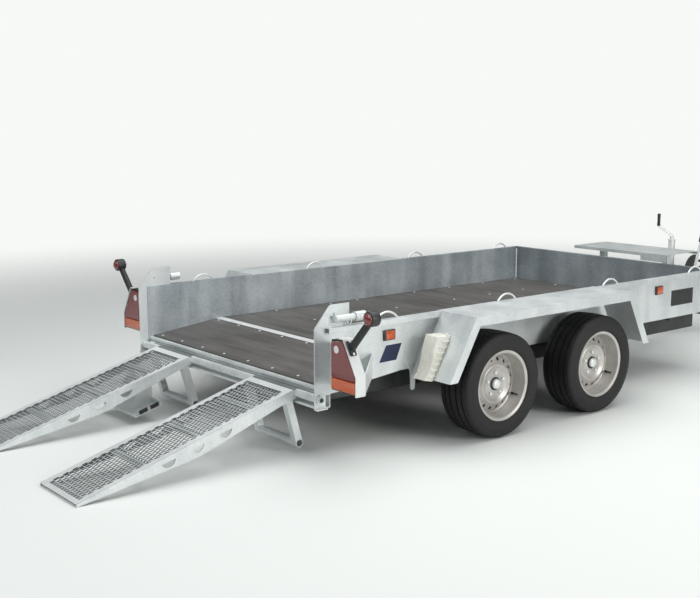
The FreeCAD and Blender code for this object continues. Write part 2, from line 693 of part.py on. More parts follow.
# Axles: the square tube, the trailing arms, the brake back plates and the stub axles.
face = wheel_face
back_plate = face - d.drum_reach - d.back_plate
for name, y in AXLES:
    axle = new_body(f"axle_{name}")
    tube_y = rear + y + d.arm_length
    tube_loop = box_loop(tube_y - tube_half, tube_y + tube_half,
                         d.torsion_height - tube_half, d.torsion_height + tube_half)
    pad(axle, "YZ_Plane", [tube_loop], 2 * arm_inner, at=-arm_inner)
    wheel_y = rear + y
    arm_loop = [
        (wheel_y, wheel_height - d.arm_end),
        (tube_y, d.torsion_height - tube_half),
        (tube_y + tube_half, d.torsion_height, "arc"),
        (tube_y, d.torsion_height + tube_half),
        (wheel_y, wheel_height + d.arm_end),
        (wheel_y - d.arm_end, wheel_height, "arc"),
    ]
    for side_name, side in SIDES:
        pad(axle, "YZ_Plane", [arm_loop], "Dim.arm_thickness",
            at=from_side(side, arm_inner, d.arm_thickness))
        plate_start = arm_inner + d.arm_thickness
        stub_length = face - d.disc_depth - plate_start
        pad(axle, "YZ_Plane", [], stub_length, at=from_side(side, plate_start, stub_length),
            circles=[(wheel_y, wheel_height, d.stub_radius)])
        pad(axle, "YZ_Plane", [], "Dim.back_plate", at=from_side(side, back_plate, d.back_plate),
            circles=[(wheel_y, wheel_height, d.drum_radius + d.back_plate)])

# Tyres: a revolved section that sits between the rim's flanges and swells over them.
middle = face - d.rim_width / 2
half_tyre = d.tyre_width / 2
half_tread = d.tread_width / 2
bead_half = d.rim_width / 2 - d.flange_wall
bead_top = d.flange_radius + 2 * d.fit_gap
wall_low = d.flange_radius + d.tyre_swell
wall_high = d.tyre_radius - d.tyre_shoulder
tyre_section = [
    (-bead_half, d.bead_radius),
    (bead_half, d.bead_radius),
    (bead_half, bead_top),
    (half_tyre, wall_low),
    (half_tyre, wall_high),
    (half_tread, d.tyre_radius),
    (-half_tread, d.tyre_radius),
    (-half_tyre, wall_high),
    (-half_tyre, wall_low),
    (-bead_half, bead_top),
]
# The rim's section is measured inwards from its outer plane: flanges, barrel and dished
# face. The brake drum behind the face turns with it.
seat = d.bead_radius - d.fit_gap
barrel = seat - d.rim_wall
hub = d.stub_radius + d.turning_gap
disc = d.disc_depth
rim_section = [
    (0, d.flange_radius),
    (-d.flange_wall, d.flange_radius),
    (-d.flange_wall, seat),
    (d.flange_wall - d.rim_width, seat),
    (d.flange_wall - d.rim_width, d.flange_radius),
    (-d.rim_width, d.flange_radius),
    (-d.rim_width, barrel),
    (-d.face_back, barrel),
    (-d.face_back, d.drum_radius),
    (-d.drum_reach, d.drum_radius),
    (-d.drum_reach, hub),
    (-disc, hub),
    (-disc, d.dish_radius),
    (d.dish_rise - disc, d.crest_radius),
    (-d.face_back + d.rim_wall, d.skirt_radius),
    (-d.face_back + d.rim_wall, barrel),
    (0, barrel),
]
cap_section = [
    (-disc, 0),
    (-disc, d.cap_radius),
    (d.cap_reach - disc, d.cap_radius),
    (d.cap_reach - disc, 0),
]
VENTS = 16
BOLTS = 5


def hexagons(count, ring, radius, turned):
    """Six-sided outlines spaced round a circle, one corner of each pointing outwards."""
    loops = []
    for k in range(count):
        turn = 2 * math.pi * (k + turned) / count
        loops.append([
            (ring * math.cos(turn) + radius * math.cos(turn + corner * math.pi / 3),
             ring * math.sin(turn) + radius * math.sin(turn + corner * math.pi / 3))
            for corner in range(6)
        ])
    return loops


for axle_name, y in AXLES:
    for side_name, side in SIDES:
        turned = FreeCAD.Rotation(V(0, 0, 1), 0 if side > 0 else 180)
        tyre = new_body(f"tyre_{axle_name}_{side_name}")
        revolve(tyre, tyre_section, "H_Axis")
        tyre.Placement = FreeCAD.Placement(V(side * middle, rear + y, wheel_height), turned)

        rim = new_body(f"rim_{axle_name}_{side_name}")
        revolve(rim, rim_section, "H_Axis")
        revolve(rim, cap_section, "H_Axis")
        pocket(rim, "YZ_Plane", hexagons(VENTS, d.vent_ring, d.vent_radius, 0), "Dim.face_back",
               at=-d.face_back)
        pad(rim, "YZ_Plane", hexagons(BOLTS, d.bolt_ring, d.bolt_radius, 0.5), "Dim.bolt_head",
            at=-disc)
        rim.Placement = FreeCAD.Placement(V(side * face, rear + y, wheel_height), turned)

# Ramps: each lies on the floor at its tip and turns about the hinge tube. It is drawn
# level, with its hinge at the origin and its length along -Y, and then tilted.
ramp_tilt = FreeCAD.Rotation(V(1, 0, 0), math.degrees(slope))
half_ramp = d.ramp_width / 2
knuckle = d.sleeve_radius / 2
web_top = (-d.ramp_length, d.ramp_rise)
web_foot = (-2 * d.leg_at, -d.ramp_start)
web_belly = (-d.web_deepest_at, -d.web_deepest)
web_outline = [
    (-knuckle, -knuckle),
    (-knuckle, knuckle),
    (-d.ramp_start, d.ramp_rise),
    web_top,
    (-d.ramp_length, d.ramp_tip),
    *rounding(web_belly, (-d.ramp_length, d.ramp_tip), web_foot, d.web_round),
    web_foot,
    (-d.ramp_start, -d.ramp_start),
]
MOON_PLACES = [0.36, 0.49, 0.62]
TIE_PLACES = [0.2, 0.45, 0.7, 0.97]
tread_low = d.ramp_rise - d.tread_wall
tie_low = max(tread_low - d.tie_depth, d.ramp_tip - d.tread_wall)


def half_moon(centre, width, height):
    """A half-moon opening with its straight edge on top, along the hinge line."""
    return [(centre - width / 2, 0), (centre + width / 2, 0), (centre, -height, "arc")]


def tread_openings():
    """Staggered six-sided openings over the tread plate inside its plain border."""
    rows = int(d.tread_rows)
    columns = int(d.tread_columns)
    run = d.ramp_length - d.ramp_start - 2 * d.tread_border
    row_pitch = run / rows
    column_pitch = (d.ramp_width - 2 * d.web_wall - 2 * d.tread_border) / (columns + 0.5)
    half_long = (row_pitch - d.tread_bridge) / 2
    half_wide = (column_pitch - d.tread_bridge) / 2
    loops = []
    for row in range(rows):
        y = -d.ramp_start - d.tread_border - (row + 0.5) * row_pitch
        for column in range(columns):
            stagger = 0.25 if row % 2 else -0.25
            x = (column - (columns - 1) / 2 + stagger) * column_pitch
            loops.append([
                (x - half_wide, y), (x - half_wide / 2, y - half_long),
                (x + half_wide / 2, y - half_long), (x + half_wide, y),
                (x + half_wide / 2, y + half_long), (x - half_wide / 2, y + half_long),
            ])
    return loops


for name, side in SIDES:
    ramp_place = FreeCAD.Placement(
        V(side * d.ramp_middle, hinge_y, d.hinge_height), ramp_tilt)

    frame = new_body(f"ramp_frame_{name}")
    moons = [half_moon(-share * d.ramp_length, d.moon_width, d.moon_height)
             for share in MOON_PLACES]
    for web_at in (-half_ramp, half_ramp - d.web_wall):
        pad(frame, "YZ_Plane", [web_outline] + moons, "Dim.web_wall", at=web_at)
    inside_width = "Dim.ramp_width - 2 * Dim.web_wall"
    for share in TIE_PLACES:
        tie_y = -share * d.ramp_length
        tie = box_loop(tie_y - d.tie_width / 2, tie_y + d.tie_width / 2, tie_low, tread_low)
        pad(frame, "YZ_Plane", [tie], inside_width, at=-half_ramp + d.web_wall)
    head_plate = box_loop(-d.ramp_start - d.web_wall, -d.ramp_start + d.web_wall,
                          -knuckle, tread_low)
    pad(frame, "YZ_Plane", [head_plate], inside_width, at=-half_ramp + d.web_wall)
    sleeve_start = from_side(side, d.sleeve_gap, skin - 2 * d.sleeve_gap) - side * d.ramp_middle
    pad(frame, "YZ_Plane", [],
        "Dim.bed_width / 2 + Dim.sheet_wall - 2 * Dim.sleeve_gap", at=sleeve_start,
        circles=[(0, 0, d.sleeve_radius)])
    pocket(frame, "YZ_Plane", [], "Dim.bed_width", at=sleeve_start - d.sleeve_gap,
           circles=[(0, 0, d.hinge_radius + d.turning_gap)])
    frame.Placement = ramp_place

    tread = new_body(f"ramp_tread_{name}")
    plate = box_loop(-half_ramp + d.web_wall, half_ramp - d.web_wall,
                     -d.ramp_length, -d.ramp_start)
    pad(tread, "XY_Plane", [plate] + tread_openings(), "Dim.tread_wall", at=tread_low)
    tread.Placement = ramp_place

    leg = new_body(f"ramp_leg_{name}")
    tube = d.leg_tube
    leg_reach = half_ramp - d.web_wall
    for x in (-leg_reach, leg_reach - tube):
        upright = box_loop(x, x + tube, -d.leg_at - tube / 2, -d.leg_at + tube / 2)
        pad(leg, "XY_Plane", [upright], d.leg_drop + tread_low, at=-d.leg_drop)
    pad(leg, "YZ_Plane", [], 2 * leg_reach, at=-leg_reach,
        circles=[(-d.leg_at, -d.leg_drop, d.foot_radius)])
    pocket(leg, "YZ_Plane", [], 2 * leg_reach, at=-leg_reach,
           circles=[(-d.leg_at, -d.leg_drop, d.foot_radius - d.tube_wall)])
    leg.Placement = ramp_place

# Plate carrier: a folded tray for a number plate on two straps under the left ramp. It
# shows behind the trailer when the ramp is up, and its place is bare.
carrier = new_body("plate_carrier")
tray_out = d.carrier_start + d.carrier_width
half_tray = d.carrier_length / 2
tray = [
    (-tray_out, -d.carrier_drop),
    (-d.carrier_start, -d.carrier_drop),
    (-d.carrier_start, d.carrier_lip - d.carrier_drop),
    (-d.carrier_start - wall, d.carrier_lip - d.carrier_drop),
    (-d.carrier_start - wall, wall - d.carrier_drop),
    (wall - tray_out, wall - d.carrier_drop),
    (wall - tray_out, d.carrier_lip - d.carrier_drop),
    (-tray_out, d.carrier_lip - d.carrier_drop),
]
pad(carrier, "YZ_Plane", [tray], "Dim.carrier_length", at=-half_tray)
strap_tie = -TIE_PLACES[0] * d.ramp_length
strap = [
    (strap_tie - d.tie_width / 2, tie_low),
    (strap_tie + d.tie_width / 2, tie_low),
    (-d.carrier_start - wall, wall - d.carrier_drop),
    (wall - tray_out, wall - d.carrier_drop),
]
for x in (-half_tray / 2, half_tray / 2 - d.web_wall):
    pad(carrier, "YZ_Plane", [strap], "Dim.web_wall", at=x)
carrier.Placement = FreeCAD.Placement(V(-d.ramp_middle, hinge_y, d.hinge_height), ramp_tilt)

# Rear lamps in their folded guards, and the marker lamps on rubber arms.
lamp_corner = lamp_inner + d.lamp_top_width
lamp_outline = [
    (lamp_inner, d.lamp_foot),
    (lamp_outer, d.lamp_foot),
    (lamp_outer, d.lamp_shoulder),
    (lamp_corner, d.lamp_top),
    (lamp_inner, d.lamp_top - d.lamp_slant),
]
guard_back = [
    (post_face, d.lamp_foot),
    (lamp_outer, d.lamp_foot),
    (lamp_outer, d.lamp_shoulder),
    (lamp_corner, d.lamp_top),
    (post_face, d.lamp_top - d.guard_step),
]
guard_rim = [
    (lamp_outer, d.lamp_foot - wall),
    (lamp_outer + wall, d.lamp_foot - wall),
    (lamp_outer + wall, d.lamp_shoulder + 1),
    (lamp_corner + wall, d.lamp_top + wall),
    (lamp_corner - d.guard_ledge, d.lamp_top + wall),
    (lamp_corner - d.guard_ledge, d.lamp_top),
    (lamp_corner, d.lamp_top),
    (lamp_outer, d.lamp_shoulder),
]
lamp_back = rear - d.lamp_rear
guard_start = lamp_back + d.lamp_depth
marker_y = rear + d.marker_y
marker_end = d.marker_length / 2
marker_outline = [
    (0, -marker_end),
    (d.marker_lens, -marker_end),
    (d.marker_radius, d.marker_bulge - marker_end),
    (d.marker_radius, marker_end - d.marker_bulge),
    (d.marker_lens, marker_end),
    (0, marker_end),
]
for name, side in SIDES:
    guard = new_body(f"lamp_guard_{name}")
    pad(guard, "XZ_Plane", [mirrored(guard_back, side)], "Dim.sheet_wall", at=guard_start)
    pad(guard, "XZ_Plane", [mirrored(guard_rim, side)], "Dim.guard_depth",
        at=guard_start + wall - d.guard_depth)
    # The stay runs from the guard's outer edge forwards to the side panel. Its top slopes.
    stay = [
        (skin, rear + d.stay_reach),
        (lamp_outer, guard_start + wall),
        (lamp_outer - 2 * wall, guard_start + wall),
        (skin, rear + d.stay_reach - 2 * wall),
    ]
    pad(guard, "XY_Plane", [mirrored(stay, side)], d.stay_top - d.lamp_foot, at=d.lamp_foot)
    over_stay = [
        (lamp_outer + 1, d.lamp_shoulder),
        (lamp_outer + 1, d.stay_top + 1),
        (skin - 1, d.stay_top + 1),
        (skin - 1, d.stay_top),
    ]
    pocket(guard, "XZ_Plane", [mirrored(over_stay, side)], "Dim.stay_reach",
           at=guard_start + wall)

    lamp = new_body(f"lamp_{name}")
    pad(lamp, "XZ_Plane", [mirrored(lamp_outline, side)], "Dim.lamp_depth", at=lamp_back)

    # The marker is drawn about the centre of its lamp, with the arm down to the guard.
    marker = new_body(f"marker_{name}")
    lamp_centre = V(side * marker_out, marker_y, d.marker_height)
    rim_low = V(side * (lamp_outer + wall), marker_y, d.lamp_shoulder + 1) - lamp_centre
    rim_high = V(side * (lamp_corner + wall), marker_y, d.lamp_top + wall) - lamp_centre
    rim_line = (rim_high - rim_low).normalize()
    outwards = V(rim_line.z, 0, -rim_line.x) * side
    foot = rim_high - rim_line * d.arm_seat
    base = foot + outwards * d.arm_base
    lean = base.negative().normalize()
    across = V(-lean.z, 0, lean.x) * d.arm_radius
    arm_top = lean * (-d.marker_radius / 2)
    foot_half = rim_line * d.arm_foot
    raised = outwards * (d.arm_base + 1)
    arm_loop = [base + across, base - across, arm_top - across, arm_top + across]
    foot_loop = [foot - foot_half, foot + foot_half,
                 foot + foot_half * 0.7 + raised, foot - foot_half * 0.7 + raised]
    for loop, share in ((arm_loop, 0.85), (foot_loop, 1.2)):
        thick = share * d.arm_radius
        pad(marker, "XZ_Plane", [[(p.x, p.z) for p in loop]], 2 * thick, at=-thick)
    revolve(marker, marker_outline, "V_Axis")
    marker.Placement = FreeCAD.Placement(lamp_centre, FreeCAD.Rotation())

# Lashing hoops: round bar bent over the rails, four to a side, drawn eight-sided.
HOOPS = [
    (372, d.rail_top), (1195, d.rail_top + wall),
    (d.bed_length - 1000, d.rail_top), (d.bed_length - 170, d.rail_top),
]
hoop_x = half + d.hoop_in
hoop_turn = (d.hoop_length ** 2 / 4 + d.hoop_rise ** 2) / (2 * d.hoop_rise)
hoop_angle = 2 * math.degrees(math.asin(d.hoop_length / 2 / hoop_turn))
bar_corners = [math.pi * (k + 0.5) / 4 for k in range(8)]
for name, side in SIDES:
    bars = []
    for place, foot in HOOPS:
        centre = V(side * hoop_x, rear + place, foot + d.hoop_rise - hoop_turn)
        section = Part.makePolygon([
            centre + V(d.hoop_bar * math.cos(a), 0, hoop_turn + d.hoop_bar * math.sin(a))
            for a in bar_corners + bar_corners[:1]
        ])
        section.rotate(centre, V(1, 0, 0), -hoop_angle)
        arch = Part.Face(section).revolve(centre, V(1, 0, 0), 2 * hoop_angle)
        above = Part.makeBox(4 * d.hoop_bar, 2 * d.hoop_length, 2 * d.hoop_rise,
                             V(side * hoop_x - 2 * d.hoop_bar, rear + place - d.hoop_length, foot))
        bars.append(arch.common(above).Solids[0])
    hoops = doc.addObject("Part::Feature", f"hoops_{name}")
    hoops.Label = f"hoops_{name}"
    hoops.Shape = Part.makeCompound(bars)
    parts.append(hoops)

# Overrun coupling: the housing on the drawbar, the gaiter, and the shaft with its head.
axis_height = d.coupling_height
plate_low = cross_bottom
plate_top = plate_low + d.housing_plate
housing_start = front + d.housing_rear_ahead
housing_end = front + d.housing_front_ahead
housing_length = "Dim.housing_front_ahead - Dim.housing_rear_ahead"
plate_half = d.drawbar_apart + d.drawbar_width / 2
housing = new_body("overrun_housing")
plate_loop = box_loop(-plate_half, plate_half, housing_start, housing_end)
pad(housing, "XY_Plane", [plate_loop], "Dim.housing_plate", at=plate_low)
pad(housing, "XZ_Plane", [], housing_length, at=housing_start,
    circles=[(0, axis_height, d.housing_radius)])
saddle = [
    (-d.housing_radius - d.saddle_flare, plate_top),
    (d.housing_radius + d.saddle_flare, plate_top),
    (d.housing_radius, axis_height),
    (-d.housing_radius, axis_height),
]
for start in (housing_start, housing_end - d.saddle_length):
    pad(housing, "XZ_Plane", [saddle], "Dim.saddle_length", at=start)

gaiter_end = front + d.ball_ahead - d.head_radius
gaiter = new_body("gaiter")
folds = int(d.gaiter_folds)
pitch = (gaiter_end - housing_end) / folds
gaiter_bore = d.shaft_radius + d.turning_gap
gaiter_outline = [(gaiter_bore, 0)]
for k in range(folds):
    gaiter_outline.append((d.gaiter_radius - d.fold_depth, k * pitch))
    gaiter_outline.append((d.gaiter_radius, (k + 0.5) * pitch))
gaiter_outline.append((d.gaiter_radius - d.fold_depth, folds * pitch))
gaiter_outline.append((gaiter_bore, folds * pitch))
revolve(gaiter, gaiter_outline, "V_Axis")
gaiter.Placement = FreeCAD.Placement(V(0, housing_end, axis_height), FreeCAD.Rotation())

# The head is a shell over the ball, open below, with a neck that takes the shaft.
ball_y = front + d.ball_ahead
nose = d.coupling_nose_ahead - d.ball_ahead
head_low = axis_height - d.socket_below
head_top = axis_height + d.head_rise
head = new_body("coupling_head")
pad(head, "XZ_Plane", [], "Dim.ball_ahead - Dim.housing_front_ahead", at=housing_end,
    circles=[(0, axis_height, d.shaft_radius)])
head_loop = [
    (-d.head_radius, gaiter_end),
    (d.head_radius, gaiter_end),
    (d.head_radius, ball_y + nose - d.head_radius),
    (0, ball_y + nose, "arc"),
    (-d.head_radius, ball_y + nose - d.head_radius),
]
pad(head, "XY_Plane", [head_loop], head_top - head_low, at=head_low)
# The nose falls away in front of the ball, seen from the side.
brow = [
    (ball_y + d.socket_radius / 2, head_top + 1),
    (ball_y + nose + 1, axis_height),
    (ball_y + nose + 1, head_top + 1),
]
pocket(head, "YZ_Plane", [brow], "2 * Dim.head_radius", at=-d.head_radius)
pocket(head, "XY_Plane", [], "Dim.socket_depth", at=head_low,
       circles=[(0, ball_y, d.socket_radius)])

handle = new_body("coupling_handle")
grip_half = d.grip_width / 2
handle_loop = [
    (ball_y, head_top),
    (ball_y - 10, head_top + 24),
    (ball_y - 90, head_top + 52),
    (ball_y - 150, head_top + 46),
    (ball_y - 150, head_top + 30),
    (ball_y - 84, head_top + 28),
    (ball_y - 38, head_top),
]
pad(handle, "YZ_Plane", [handle_loop], "Dim.grip_width", at=-grip_half)

# Handbrake: a lever with a round grip on the housing's right side, its toothed quadrant
# and the plastic shroud over them.
pivot = V(d.housing_radius, front + d.brake_ahead, axis_height + d.brake_rise)
sector = math.radians((d.brake_high - d.brake_low) / 2)
teeth = int(d.brake_teeth)
tooth = 2 * sector / teeth
start_angle = math.radians(d.brake_low)
quadrant_loop = [(pivot.y + d.brake_hub, pivot.z - d.brake_hub)]
for k in range(teeth):
    for share, reach in ((0.0, 0), (0.5, d.brake_tooth)):
        angle = start_angle + (k + share) * tooth
        radius = d.quadrant_radius - reach
        quadrant_loop.append((pivot.y + radius * math.cos(angle), pivot.z + radius * math.sin(angle)))
quadrant_loop.append((pivot.y + d.quadrant_radius * math.cos(start_angle + 2 * sector),
                      pivot.z + d.quadrant_radius * math.sin(start_angle + 2 * sector)))
quadrant_loop.append((pivot.y - d.brake_hub, pivot.z - d.brake_hub))
quadrant = new_body("brake_quadrant")
pad(quadrant, "YZ_Plane", [quadrant_loop], "Dim.brake_wall", at=d.housing_radius)

lever_line = V(0, math.cos(math.radians(d.lever_angle)), math.sin(math.radians(d.lever_angle)))
lever_side = V(0, -lever_line.z, lever_line.y)


def on_lever(along, aside):
    """A point of the lever's side view, measured from its pivot."""
    point = pivot + lever_line * along + lever_side * aside
    return (point.y, point.z)


brake = new_body("handbrake_lever")
grip_start = d.lever_length - d.lever_grip
lever_loop = [
    on_lever(-d.brake_hub, -d.lever_half),
    on_lever(grip_start, -d.lever_half * 0.7),
    on_lever(grip_start, d.lever_half * 0.7),
    on_lever(-d.brake_hub, d.lever_half),
]
pad(brake, "YZ_Plane", [lever_loop], "Dim.brake_wall", at=d.housing_radius + d.brake_wall)
grip_loop = [
    on_lever(grip_start, -d.lever_half),
    on_lever(d.lever_length, -d.lever_half),
    (*on_lever(d.lever_length + d.lever_half, 0), "arc"),
    on_lever(d.lever_length, d.lever_half),
    on_lever(grip_start, d.lever_half),
]
pad(brake, "YZ_Plane", [grip_loop], "2 * Dim.lever_half",
    at=d.housing_radius + 1.5 * d.brake_wall - d.lever_half)

# Jockey wheel: clamp, outer tube with its crank, winding leg, fork and wheel.
jockey = V(d.jockey_x, front + d.jockey_ahead, 0)
clamp = new_body("jockey_clamp")
clamp_low = plate_top + d.clamp_lift
clamp_half = d.clamp_width / 2
tube_hole = [(jockey.x, jockey.y, d.jockey_tube + d.turning_gap)]
clamp_high = clamp_low + d.clamp_height
saddle_slope = d.saddle_flare / (axis_height - plate_top)
arm_block = [
    (jockey.x, clamp_low),
    (-d.housing_radius - saddle_slope * (axis_height - clamp_low), clamp_low),
    (-d.housing_radius - saddle_slope * (axis_height - clamp_high), clamp_high),
    (jockey.x, clamp_high),
]
pad(clamp, "XZ_Plane", [arm_block], "Dim.clamp_width", at=jockey.y - clamp_half)
pad(clamp, "XY_Plane", [], "Dim.clamp_height", at=clamp_low,
    circles=[(jockey.x, jockey.y, d.jockey_tube + d.clamp_wall)])
pocket(clamp, "XY_Plane", [], "Dim.clamp_height", at=clamp_low, circles=tube_hole)
# The clamp's screw with its bar lies across its outer end.
screw_z = clamp_low + d.clamp_height / 2
screw_start = jockey.x - d.jockey_tube - d.clamp_wall - d.screw_reach
pad(clamp, "YZ_Plane", [], d.screw_reach + d.clamp_wall / 2, at=screw_start,
    circles=[(jockey.y, screw_z, d.screw_radius)])
bar_half = 5 * d.screw_radius
pad(clamp, "XZ_Plane", [], 2 * bar_half, at=jockey.y - bar_half,
    circles=[(screw_start + d.screw_radius, screw_z, d.screw_radius * 0.7)])

outer_tube = new_body("jockey_tube")
bore = d.jockey_tube - d.jockey_wall
pad(outer_tube, "XY_Plane", [], "Dim.jockey_top - Dim.jockey_foot", at=d.jockey_foot,
    circles=[(jockey.x, jockey.y, d.jockey_tube), (jockey.x, jockey.y, bore)])
pad(outer_tube, "XY_Plane", [], "Dim.collar_height", at=d.jockey_top,
    circles=[(jockey.x, jockey.y, d.jockey_tube + d.jockey_wall)])
pad(outer_tube, "XY_Plane", [], "Dim.spindle_height", at=d.jockey_top + d.collar_height,
    circles=[(jockey.x, jockey.y, d.spindle_radius)])

# The crank is drawn about the tube's axis: a bent flat arm and an upright round grip.
crank = new_body("jockey_crank")
crank_low = d.jockey_top + d.collar_height + d.spindle_height
crank_loop = [
    (-8, 0), (8, 0), (8, 14), (8 - d.crank_reach, d.crank_rise),
    (-7 - d.crank_reach, d.crank_rise), (-7 - d.crank_reach, d.crank_rise - 12),
]
pad(crank, "XZ_Plane", [crank_loop], "Dim.crank_wall", at=-d.crank_wall / 2)
pad(crank, "XY_Plane", [], "Dim.crank_grip", at=d.crank_rise - 6,
    circles=[(-d.crank_reach, 0, d.crank_radius)])
crank.Placement = FreeCAD.Placement(
    V(jockey.x, jockey.y, crank_low), FreeCAD.Rotation(V(0, 0, 1), 50))

inner_leg = new_body("jockey_leg")
fork_top = 2 * d.jockey_wheel + d.fork_clear
pad(inner_leg, "XY_Plane", [], d.jockey_top - d.leg_hidden - fork_top, at=fork_top,
    circles=[(jockey.x, jockey.y, bore - d.turning_gap)])

fork = new_body("jockey_fork")
fork_half = d.jockey_tread / 2 + d.fork_gap
wheel_back = jockey.y - d.jockey_trail
crown_top = fork_top - d.turning_gap
crown_low = fork_top - 2 * d.fork_wall
cheek_foot = (wheel_back, d.jockey_wheel - d.cheek_half, "arc")
fork_loop = [
    (jockey.y - d.jockey_tube, crown_top),
    (jockey.y + d.jockey_tube, crown_top),
    (jockey.y + d.jockey_tube, crown_low),
    (wheel_back + d.cheek_half, d.jockey_wheel),
    cheek_foot,
    (wheel_back - d.cheek_half, d.jockey_wheel),
]
for x in (-fork_half - d.fork_wall, fork_half):
    pad(fork, "YZ_Plane", [fork_loop], "Dim.fork_wall", at=jockey.x + x)
crown = box_loop(jockey.y - d.jockey_tube, jockey.y + d.jockey_tube, crown_low, crown_top)
pad(fork, "YZ_Plane", [crown], 2 * fork_half, at=jockey.x - fork_half)
pad(fork, "YZ_Plane", [], 2 * fork_half, at=jockey.x - fork_half,
    circles=[(wheel_back, d.jockey_wheel, d.pin_radius)])

jockey_wheel = new_body("jockey_wheel")
tread_half = d.jockey_tread / 2
web_half = tread_half * 0.4
pin_bore = d.pin_radius + d.turning_gap
hub_outer = 3 * d.pin_radius
tyre_inner = d.jockey_wheel * 0.7
wheel_section = [
    (-tread_half, pin_bore), (tread_half, pin_bore), (tread_half, hub_outer),
    (web_half, hub_outer), (web_half, tyre_inner), (tread_half, tyre_inner),
    (tread_half, d.jockey_wheel - d.pin_radius), (tread_half - d.pin_radius, d.jockey_wheel),
    (d.pin_radius - tread_half, d.jockey_wheel), (-tread_half, d.jockey_wheel - d.pin_radius),
    (-tread_half, tyre_inner), (-web_half, tyre_inner), (-web_half, hub_outer),
    (-tread_half, hub_outer),
]
revolve(jockey_wheel, wheel_section, "H_Axis")
jockey_wheel.Placement = FreeCAD.Placement(
    V(jockey.x, wheel_back, d.jockey_wheel), FreeCAD.Rotation())

# Bucket rest: a folded tray on two posts over the drawbar.
rest = new_body("bucket_rest")
rest_rear = front + d.rest_rear_ahead
rest_front = front + d.rest_front_ahead
lip_low = d.rest_height - d.rest_lip
tray_under = d.rest_height - wall
tray_outline = [
    (rest_rear, lip_low), (rest_rear + wall, lip_low), (rest_rear + wall, tray_under),
    (rest_front - wall, tray_under), (rest_front - wall, lip_low), (rest_front, lip_low),
    (rest_front, d.rest_height), (rest_rear, d.rest_height),
]
pad(rest, "YZ_Plane", [tray_outline], "2 * Dim.rest_half", at=-d.rest_half)
post_place = (rest_rear + rest_front) / 2
post_reach = (front + d.drawbar_end_ahead - post_place) / leg_line.y
post_x = d.drawbar_apart - post_reach * leg_line.x
rest_post = d.rest_post / 2
for side_name, side in SIDES:
    post_loop = box_loop(side * post_x - rest_post, side * post_x + rest_post,
                         post_place - rest_post, post_place + rest_post)
    pad(rest, "XY_Plane", [post_loop], tray_under - cross_bottom, at=cross_bottom)
apron = box_loop(rest_rear, rest_rear + wall, d.rest_height - d.apron_drop, lip_low)
pad(rest, "YZ_Plane", [apron], d.rest_half - d.apron_start, at=d.apron_start)

# Small pieces on both sides: ramp latches, reflectors, wheel chocks and lug plates.
latches = new_body("ramp_latches")
latches.AllowCompound = True
markers = new_body("side_markers")
markers.AllowCompound = True
chocks = new_body("wheel_chocks")
chocks.AllowCompound = True
lugs = new_body("lug_plates")
lugs.AllowCompound = True


def slope_y(height):
    """Y of the fender's rear slope, on its outside, at this height."""
    rise = d.rail_top + wall - d.fender_foot
    run = d.fender_top_rear_y - d.fender_foot_rear_y
    return rear + d.fender_foot_rear_y + run * (height - d.fender_foot) / rise


chock_middle = (d.chock_top + d.chock_foot) / 2
chock_loop = [
    (slope_y(d.chock_top), d.chock_top),
    (slope_y(d.chock_top) - d.chock_base, d.chock_top + 6),
    (slope_y(chock_middle) - d.chock_waist, chock_middle, "arc"),
    (slope_y(d.chock_foot) - d.chock_tip, d.chock_foot + 12),
    (slope_y(d.chock_foot), d.chock_foot),
]
# Outline of a lug plate: forwards from its rear edge, up from its foot, "arc" at an arc.
LUG = [
    (0, 157), (24, 92), (28, 15), (41, 0, "arc"), (54, 15), (60, 87), (94, 108), (98, 152),
]
lug_loop = [(rear + d.lug_y + y, d.lug_foot + z, *arc) for y, z, *arc in LUG]
lug_hole = (rear + d.lug_y + d.lug_hole_in, d.lug_foot + d.lug_hole_up, d.lug_hole_radius)
latch_rear = rear + d.latch_y
latch_low = d.latch_height - d.latch_below
latch_plate = box_loop(latch_rear, latch_rear + d.latch_length,
                       latch_low, latch_low + d.latch_plate)
bolt_rear = latch_rear - d.latch_beyond
half_square = d.reflector_length / 2
bolt_circle = (post_face + d.latch_axis, d.latch_height, d.latch_radius)
for name, side in SIDES:
    pad(latches, "YZ_Plane", [latch_plate], "Dim.latch_wall",
        at=from_side(side, post_face, d.latch_wall))
    bolt_place = [(side * bolt_circle[0], bolt_circle[1], bolt_circle[2])]
    grip_place = [(side * bolt_circle[0], bolt_circle[1], bolt_circle[2] * 1.4)]
    pad(latches, "XZ_Plane", [], "Dim.latch_reach", at=bolt_rear, circles=bolt_place)
    pad(latches, "XZ_Plane", [], "Dim.latch_grip", at=bolt_rear + d.latch_reach,
        circles=grip_place)
    for y in (rear + d.reflector_y, front + d.reflector_ahead):
        square = box_loop(y - half_square, y + half_square,
                          d.reflector_foot, d.reflector_foot + d.reflector_height)
        pad(markers, "YZ_Plane", [square], "Dim.reflector", at=from_side(side, skin, d.reflector))
    pad(chocks, "YZ_Plane", [chock_loop], "Dim.chock_width",
        at=from_side(side, chock_inner, d.chock_width))
    pad(lugs, "YZ_Plane", [lug_loop], "Dim.lug_wall", at=from_side(side, skin, d.lug_wall),
        circles=[lug_hole])

doc.recompute()
broken = [o.Name for o in doc.Objects if {"Invalid", "Error"} & set(o.State)]
if broken:
    raise RuntimeError(f"these objects failed: {broken}")
for part in parts:
    if part.Shape.isNull() or not part.Shape.isValid():
        raise RuntimeError(f"{part.Label} has no valid shape")
    part.Shape.exportStep(f"parts/{part.Label}.step")
print(len(parts), "nodes, ramp slope", round(math.degrees(slope), 2))
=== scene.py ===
import math

import bpy
from mathutils import Matrix, Vector


